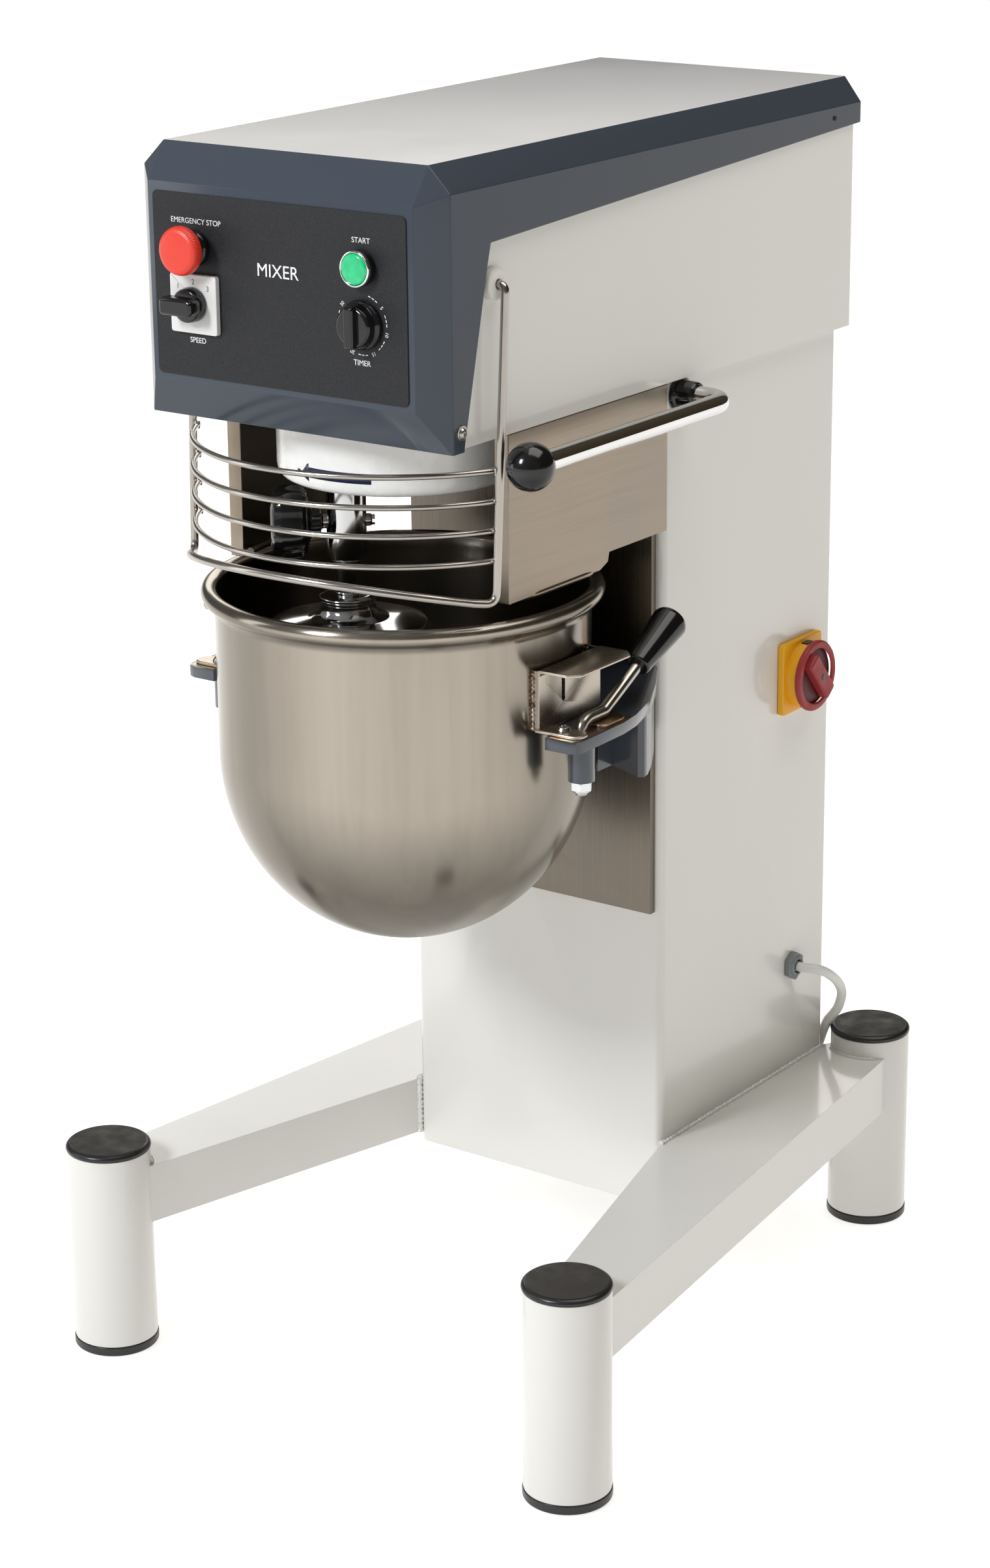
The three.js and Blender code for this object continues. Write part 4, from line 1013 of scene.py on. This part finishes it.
def bracket(side, sign):
    """Folded ear welded to the bowl's wall: web with a slot, roof with cut corners, and a short foot."""
    node = f"bowl_bracket_{side}"
    low, high = span(node)
    inner = 161.7
    sheet = 2.5
    profile = [
        (inner, low.z), (inner, high.z), (201, high.z), (201, high.z - sheet), (inner + 3, high.z - sheet),
        (inner + 3, low.z),
    ]
    profile = [(sign * x, z) for x, z in rounded(profile, 4, 5)]
    bm = bmesh.new()
    prism_into(bm, profile, -212, -122, "y")
    ear = add_object(f"bracket_ear_{side}", bm, STAINLESS)
    beyond = sign * 202
    front_corner = [(beyond, -213), (beyond, -203), (sign * 191, -213)]
    back_corner = [(beyond, -121), (beyond, -132.5), (sign * 191, -121)]
    slot = rectangle(-179, 656, -174, 680, 2.4)
    carved(ear, [
        (slot, sign * 158, sign * 170, "x"), (front_corner, 680, 695, "z"), (back_corner, 680, 695, "z"),
    ])
    stands_for(bevelled(ear, 0.4, 2, 40), node)
    # Painted shade: a thin black sheet just inside the web, so the slot reads dark rather than showing the
    # bowl wall behind it.
    slot_shade_outline = rectangle(-180.5, 654.5, -172.5, 681.5, 3)
    gap = sorted((sign * 161.0, sign * 161.5))
    rides(prism(f"bracket_slot_{side}", slot_shade_outline, *gap, RUBBER, "x", 0.1, 2), node)
    foot = [
        (162, -215.5), (198, -215.5), (204, -213), (206, -208), (206, -202), (200, -195.5), (162, -195.5),
    ]
    foot = [(sign * x, y) for x, y in foot]
    rides(prism(f"bracket_foot_{side}", foot, low.z, low.z + 3, STAINLESS, "z", 0.8), node)
    for end, y in (("front", -211), ("back", -123)):
        x = math.sqrt(161.0 ** 2 - (y - BOWL_AXIS.y) ** 2) + 0.6
        near, far = sign * (x - 1), sign * (inner + 2)
        outline = [(near, y - 0.8), (far, y - 0.8), (far, y + 1), (near, y + 1)]
        lip = prism(f"bracket_end_{end}_{side}", outline, low.z, high.z - 1, STAINLESS, "z", 0.5)
        rides(lip, node)
        points = straight((sign * x, y, low.z + 1), (sign * x, y, high.z - 1), 1.2)
        weld_bead(f"weld_bracket_{end}_{side}", points, 2.2, WELD, node)


def yoke():
    """Casting with a catch plate, a retaining screw and a lock nut at the end of each arm."""
    softened("bowl_yoke", 1.2, CASTING, merged=False)
    top = span("bowl_yoke")[1].z
    boss_low = 594.0
    for side, sign in SIDES:
        node = f"bowl_bracket_{side}"
        pad = [(179, -220), (203, -220), (206, -214), (206, -150), (203, -133), (179, -133)]
        pad = [(sign * x, y) for x, y in pad]
        pad = prism(f"wear_plate_{side}", pad, top - 0.2, top + 0.25, TINT)
        rides(pad, "bowl_yoke", slot="stainless")
        low, high = sorted((sign * 184.5, sign * 203))
        outline = rectangle(low, -174.5, high, -138.5, 7)
        plate = prism(f"catch_plate_{side}", outline, top + 0.25, top + 2.8, COPPER_TINT, "z", 0.5)
        rides(plate, "bowl_yoke", slot="stainless")
        screw_place = (sign * 184, -204.5, span(node)[0].z + 3)
        button_screw(f"bracket_screw_{side}", screw_place, Z, 6.2, 4.2, node)
        lock_nut(f"lock_nut_{side}", (sign * 190, -188, boss_low))
    lock_lever()


def hexagon(corner, first=0):
    """The outline of a hexagon; first is the angle of one of its corners."""
    angles = (math.radians(first + 60 * i) for i in range(6))
    return [(corner * math.cos(a), corner * math.sin(a)) for a in angles]


def lock_nut(name, place):
    """Hexagon lock nut under a boss, with the end of its stud showing."""
    bm = bmesh.new()
    prism_into(bm, hexagon(9.8), -8.5, -0.2)
    bmesh.ops.translate(bm, vec=place, verts=bm.verts)
    rides(bevelled(add_object(name, bm, ZINC), 0.8, 3), "bowl_yoke", slot="chrome")
    collar = rounded([(0, -10.4), (6.6, -10.4), (7.6, -9.4), (7.6, -8), (0, -8)], 0.5, 3)
    rides(lathe(name + "_collar", collar, place, ZINC, sides=40), "bowl_yoke", slot="chrome")
    stud = rounded([(0, -12.8), (4.4, -12.8), (5, -12.2), (5, -8), (0, -8)], 0.3, 2)
    rides(lathe(name + "_stud", stud, place, DRAWN, sides=32), "bowl_yoke", slot="chrome")


def lock_lever():
    """Bent rod standing in the right arm of the yoke, with a tapered grip."""
    low, high = span("lock_rod")
    foot = Vector(((low.x + high.x) / 2, -188, low.z + 1))
    elbow = Vector((foot.x, -155, 645.5))
    end = Vector((foot.x, -104.6, 672.4))
    line = bend([foot, (foot.x, foot.y, elbow.z), elbow, end], 12, 8)
    stands_for(sweep("lock_rod_bar", line, 5, DRAWN, 24), "lock_rod")
    grip = [
        (0, 0.3), (9.6, 0.3), (10.6, 1.6), (11, 5), (15.4, 52), (15.7, 56), (14, 60.4), (9.5, 61.8), (0, 62),
    ]
    grip = lathe("lock_grip_body", rounded(grip, 1.6, 4), end, BLACK, end - elbow, 56, sharp=50)
    stands_for(grip, "lock_grip")


# ---- lift handle

def lift_handle():
    """Bar bent out of the column and forward along its side, with a ball knob at its end."""
    ball_low, ball_high = span("ball_knob")
    radius = (ball_high.x - ball_low.x) / 2
    axle = Vector((0, 37, centre("ball_knob").z))
    middle = Vector((centre("ball_knob").x, ball_low.y + radius, axle.z))
    start = Vector((span("lift_handle")[0].x, *axle.yz))
    corners = [start, (middle.x, *axle.yz), (middle.x, middle.y + 14, axle.z)]
    stands_for(sweep("lift_bar", bend(corners, 26, 12), 9, CHROME, 36), "lift_handle")
    collar = [(9.2, 0.4), (15.5, 0.4), (15.5, 4), (12.5, 6), (12, 19), (10.8, 21), (9.2, 21)]
    collar = rounded_loop([(r, COLUMN_HIGH.x + height) for r, height in collar], 1.0, 3)
    collar = lathe("pivot_collar", collar, axle, BLACK, X, 56, closed=True)
    rides(collar, "lift_handle", slot="black_plastic")
    profile = [(0, -radius)]
    steps = 26
    for i in range(1, steps):
        angle = math.pi * i / steps * 0.86
        profile.append((radius * math.sin(angle), -radius * math.cos(angle)))
    profile += [(9.6, radius * 0.905), (9.2, radius * 0.93), (0, radius * 0.93)]
    stands_for(lathe("ball_body", profile, middle, BLACK, Y, 72, sharp=60), "ball_knob")


# ---- guards

def wire_guard():
    """Bent frame rod with four rings welded to it, hung on a white bush at each side of the head."""
    pivot = centre("guard_bush_right")
    rail_height = lambda y: 756 + 0.25 * (-262 - y)
    rail = ring_points(179, rail_height, -28.1, -151.9, 60)
    side = bend([(148.6, *pivot.yz), (161.5, *pivot.yz), (158.5, -261.6, 770)], 7, 8)
    corner = bend([side[-1], Vector((158.2, -262.3, 757.5)), rail[3]], 9, 8)
    right = [*side[:-1], *corner[:-1], *rail[3:30]]
    left = [Vector((-p.x, p.y, p.z)) for p in reversed(right)]
    bm = bmesh.new()
    sweep_into(bm, [*right, rail[30], *left], 3.5, 20)
    for height in (792, 817, 841, 866):
        sweep_into(bm, ring_points(174, height, -26.5, -153.5, 56), 2.5, 14)
        for angle in (-27.2, -152.8):
            joint = ring_points(174.4, height, angle, angle + 0.6, 2)
            sweep_into(bm, [joint[0] + Z * 3, joint[1], joint[2] - Z * 3], 3.1, 10)
    stands_for(add_object("guard_cage", bm, DRAWN), "guard_wires")
    bush = rounded_loop([(4, 0), (13, 0), (13, 6.2), (11.6, 8), (5, 8), (4, 7.4)], 1.0, 4)
    outer = span("head_housing")[1].x + 0.3
    for name, sign in SIDES:
        place = (sign * outer, *pivot.yz)
        piece = lathe(f"pivot_bush_{name}", bush, place, BUSH, X * sign, 56, closed=True)
        stands_for(piece, f"guard_bush_{name}")


def side_guards():
    """Folded sheet beside the bowl's rim, with a rolled lip welded along its lower edge."""
    for side, sign in SIDES:
        node = f"side_guard_{side}"
        softened(node, 1.1, GUARD_SHEET, 3)
        low, high = span(node)
        outer = max(abs(low.x), abs(high.x))
        lip = []
        steps = 24
        for i in range(steps + 1):
            t = i / steps
            y = -210 + 128 * t
            inward = 5 * max(0.0, 1 - t * 4) ** 2 + 7 * max(0.0, t * 3 - 2) ** 2
            lip.append((sign * (outer - 2 - inward), y, low.z + 0.5 + 8 * max(0.0, t * 5 - 4)))
        rides(sweep(f"guard_lip_{side}", lip, 3.2, GUARD_SHEET, 16), node)


# ---- isolator and gland

def isolator():
    """Mains isolator: yellow plate and collar, and a red ring with a turned grip across it."""
    node = "isolator_base"
    low, high = span(node)
    place = centre(node)
    face = place.x = low.x
    outline = rectangle(low.y, low.z, high.y, high.z, 3.5)
    stands_for(prism("isolator_plate", outline, face, face + 6.5, YELLOW, "x", 1.2, 4), node)
    collar = rounded_loop([(22, 6), (31, 6), (30.6, 16.2), (29.4, 17.1), (22, 17.1)], 0.8, 3)
    rides(lathe("isolator_collar", collar, place, YELLOW, X, 72, closed=True), node)
    # Painted shade: thin black blocks in the collar stand for the dark insides of its two slots.
    for name, sign in (("upper", 1), ("lower", -1)):
        z = place.z + sign * 30.8
        slot = rectangle(place.y - 6, z - 0.5, place.y + 6, z + 0.5, 0.4)
        rides(prism(f"isolator_slot_{name}", slot, face + 8, face + 15, BLACK_CAP, "x", 0.2, 2), node)
    handle = "isolator_handle"
    ring = [(25.8, 17.6), (32.6, 17.6), (33.4, 18.5), (33.4, 21.5), (32, 23.1), (27.4, 23.2), (26, 22.3)]
    ring = rounded_loop(ring, 0.7, 3)
    stands_for(lathe("isolator_ring", ring, place, DARK_RED, X, 88, closed=True), handle)
    # Painted shade: the disc inside the ring is a darker red for the recess.
    rides(lathe("isolator_well", disc(27, 17.6, 19.1, 0.4), place, RECESS_SHADE_RED, X, 64), handle)
    bm = bmesh.new()
    prism_into(bm, rectangle(-8.5, -25, 8.5, 25, 3.2), face + 18.6, face + 29.2, "x")
    bmesh.ops.rotate(bm, matrix=Matrix.Rotation(math.radians(40), 3, "X"), verts=bm.verts)
    bmesh.ops.translate(bm, vec=(0, *place.yz), verts=bm.verts)
    rides(bevelled(add_object("isolator_grip", bm, DARK_RED), 2.4, 4), handle)
    rides(lathe("isolator_screw", disc(3.4, 29, 29.4, 0.2), place, BLACK_CAP, X, 32), handle)


def gland():
    """Hexagon nut, domed nut and rubber seal where the cable leaves the column."""
    node = "cable_gland"
    place = centre(node)
    face = place.x = span(node)[0].x
    outline = [(place.y + a, place.z + b) for a, b in hexagon(14.4, 30)]
    stands_for(prism("gland_nut", outline, face, face + 6, GREY, "x", 1.0), node)
    dome = [(6.4, 2), (6.4, 7), (7.2, 8.3), (8.8, 8.3), (10.6, 6.6), (11.2, 4.6), (11.2, 2)]
    rides(lathe("gland_dome", rounded_loop(dome, 0.6, 3), place, GREY, X, 48, closed=True), node)
    seal = rounded_loop([(4.8, 3), (6.5, 3), (6.5, 6.2), (4.8, 6.2)], 0.2, 2)
    rides(lathe("gland_seal", seal, place, RUBBER, X, 40, closed=True), node)


# ---- carried-over nodes, room and lights

def paint_carried_nodes():
    """Every CAD node that still shows takes the procedural material of its slot."""
    for node, obj in frame["nodes"].items():
        for material_slot in obj.material_slots:
            material_slot.material = SLOT_MATERIAL[SLOT_OF[node]]


def room():
    """White studio floor. It glows towards shallow views, so it reads as a clean background."""
    white = (0.5, 0.5, 0.5)
    floor_material, tree, shader = new_material("studio_floor", white, 0.6)
    mottled(tree, shader, white, 0.7, 0.005)
    set_inputs(shader, Emission_Color=(1, 0.98, 0.95, 1))
    weight = tree.nodes.new("ShaderNodeLayerWeight")
    set_inputs(weight, Blend=0.5)
    glow = ramp(tree, weight.outputs["Facing"], (0.1, (0.30,) * 3), (0.5, (0.78,) * 3), (0.88, (1.04,) * 3))
    tree.links.new(glow, shader.inputs["Emission Strength"])
    bm = bmesh.new()
    bmesh.ops.create_grid(bm, x_segments=2, y_segments=2, size=60000)
    floor = add_object("studio_floor", bm, floor_material)
    floor.location.z = -0.0005


def area_light(name, place, target, size, power, color=(1, 1, 1)):
    data = bpy.data.lights.new(name, "AREA")
    data.shape = "RECTANGLE"
    data.size, data.size_y = size
    data.energy = power
    data.color = color
    lamp = linked(name, data)
    lamp.location = place
    lamp.rotation_euler = (Vector(target) - Vector(place)).to_track_quat("-Z", "Y").to_euler()


def lights():
    world = bpy.data.worlds.new("studio")
    world.use_nodes = True
    bpy.context.scene.world = world
    tree = world.node_tree
    background = tree.nodes["Background"]
    source = tree.nodes.new("ShaderNodeTexCoord")
    toward = tree.nodes.new("ShaderNodeVectorMath")
    toward.operation = "DOT_PRODUCT"
    toward.inputs[1].default_value = Vector((-0.55, -0.62, 0.56)).normalized()
    tree.links.new(source.outputs["Generated"], toward.inputs[0])
    shade = ramp(tree, spread(tree, toward.outputs["Value"], 0, 1, -1, 1), (0.0, (0.11, 0.082, 0.045)),
                 (0.5, (0.25, 0.21, 0.15)), (0.8, (0.80, 0.79, 0.78)), (1.0, (1.0, 1.0, 1.0)))
    tree.links.new(shade, background.inputs["Color"])
    set_inputs(background, Strength=0.26)
    area_light("key", (-0.85, -3.5, 3.0), (0, -0.1, 0.6), (0.7, 1.1), 104, (0.95, 0.975, 1.0))
    area_light("side", (-2.6, -1.8, 1.6), (0, -0.1, 0.6), (0.7, 2.2), 10, (0.98, 0.99, 1.0))
    area_light("top", (0.9, 0.3, 3.6), (0.3, 0, 0.3), (2.4, 2.4), 46, (1.0, 0.98, 0.95))
    area_light("rear_card", (-2.6, 3.6, 2.5), (0, 0, 0.9), (3.2, 1.6), 37, (1.0, 0.97, 0.93))
    area_light("fill", (3.2, -1.6, 1.6), (0, 0, 0.6), (1.6, 2.4), 1, (1.0, 0.86, 0.66))


make_camera()
mains_cable()
legs()
base()
column_and_plate()
head()
controls()
drive()
bowl()
yoke()
lift_handle()
wire_guard()
side_guards()
isolator()
gland()
paint_carried_nodes()
room()
lights()
bpy.context.scene.view_settings.view_transform = "Standard"
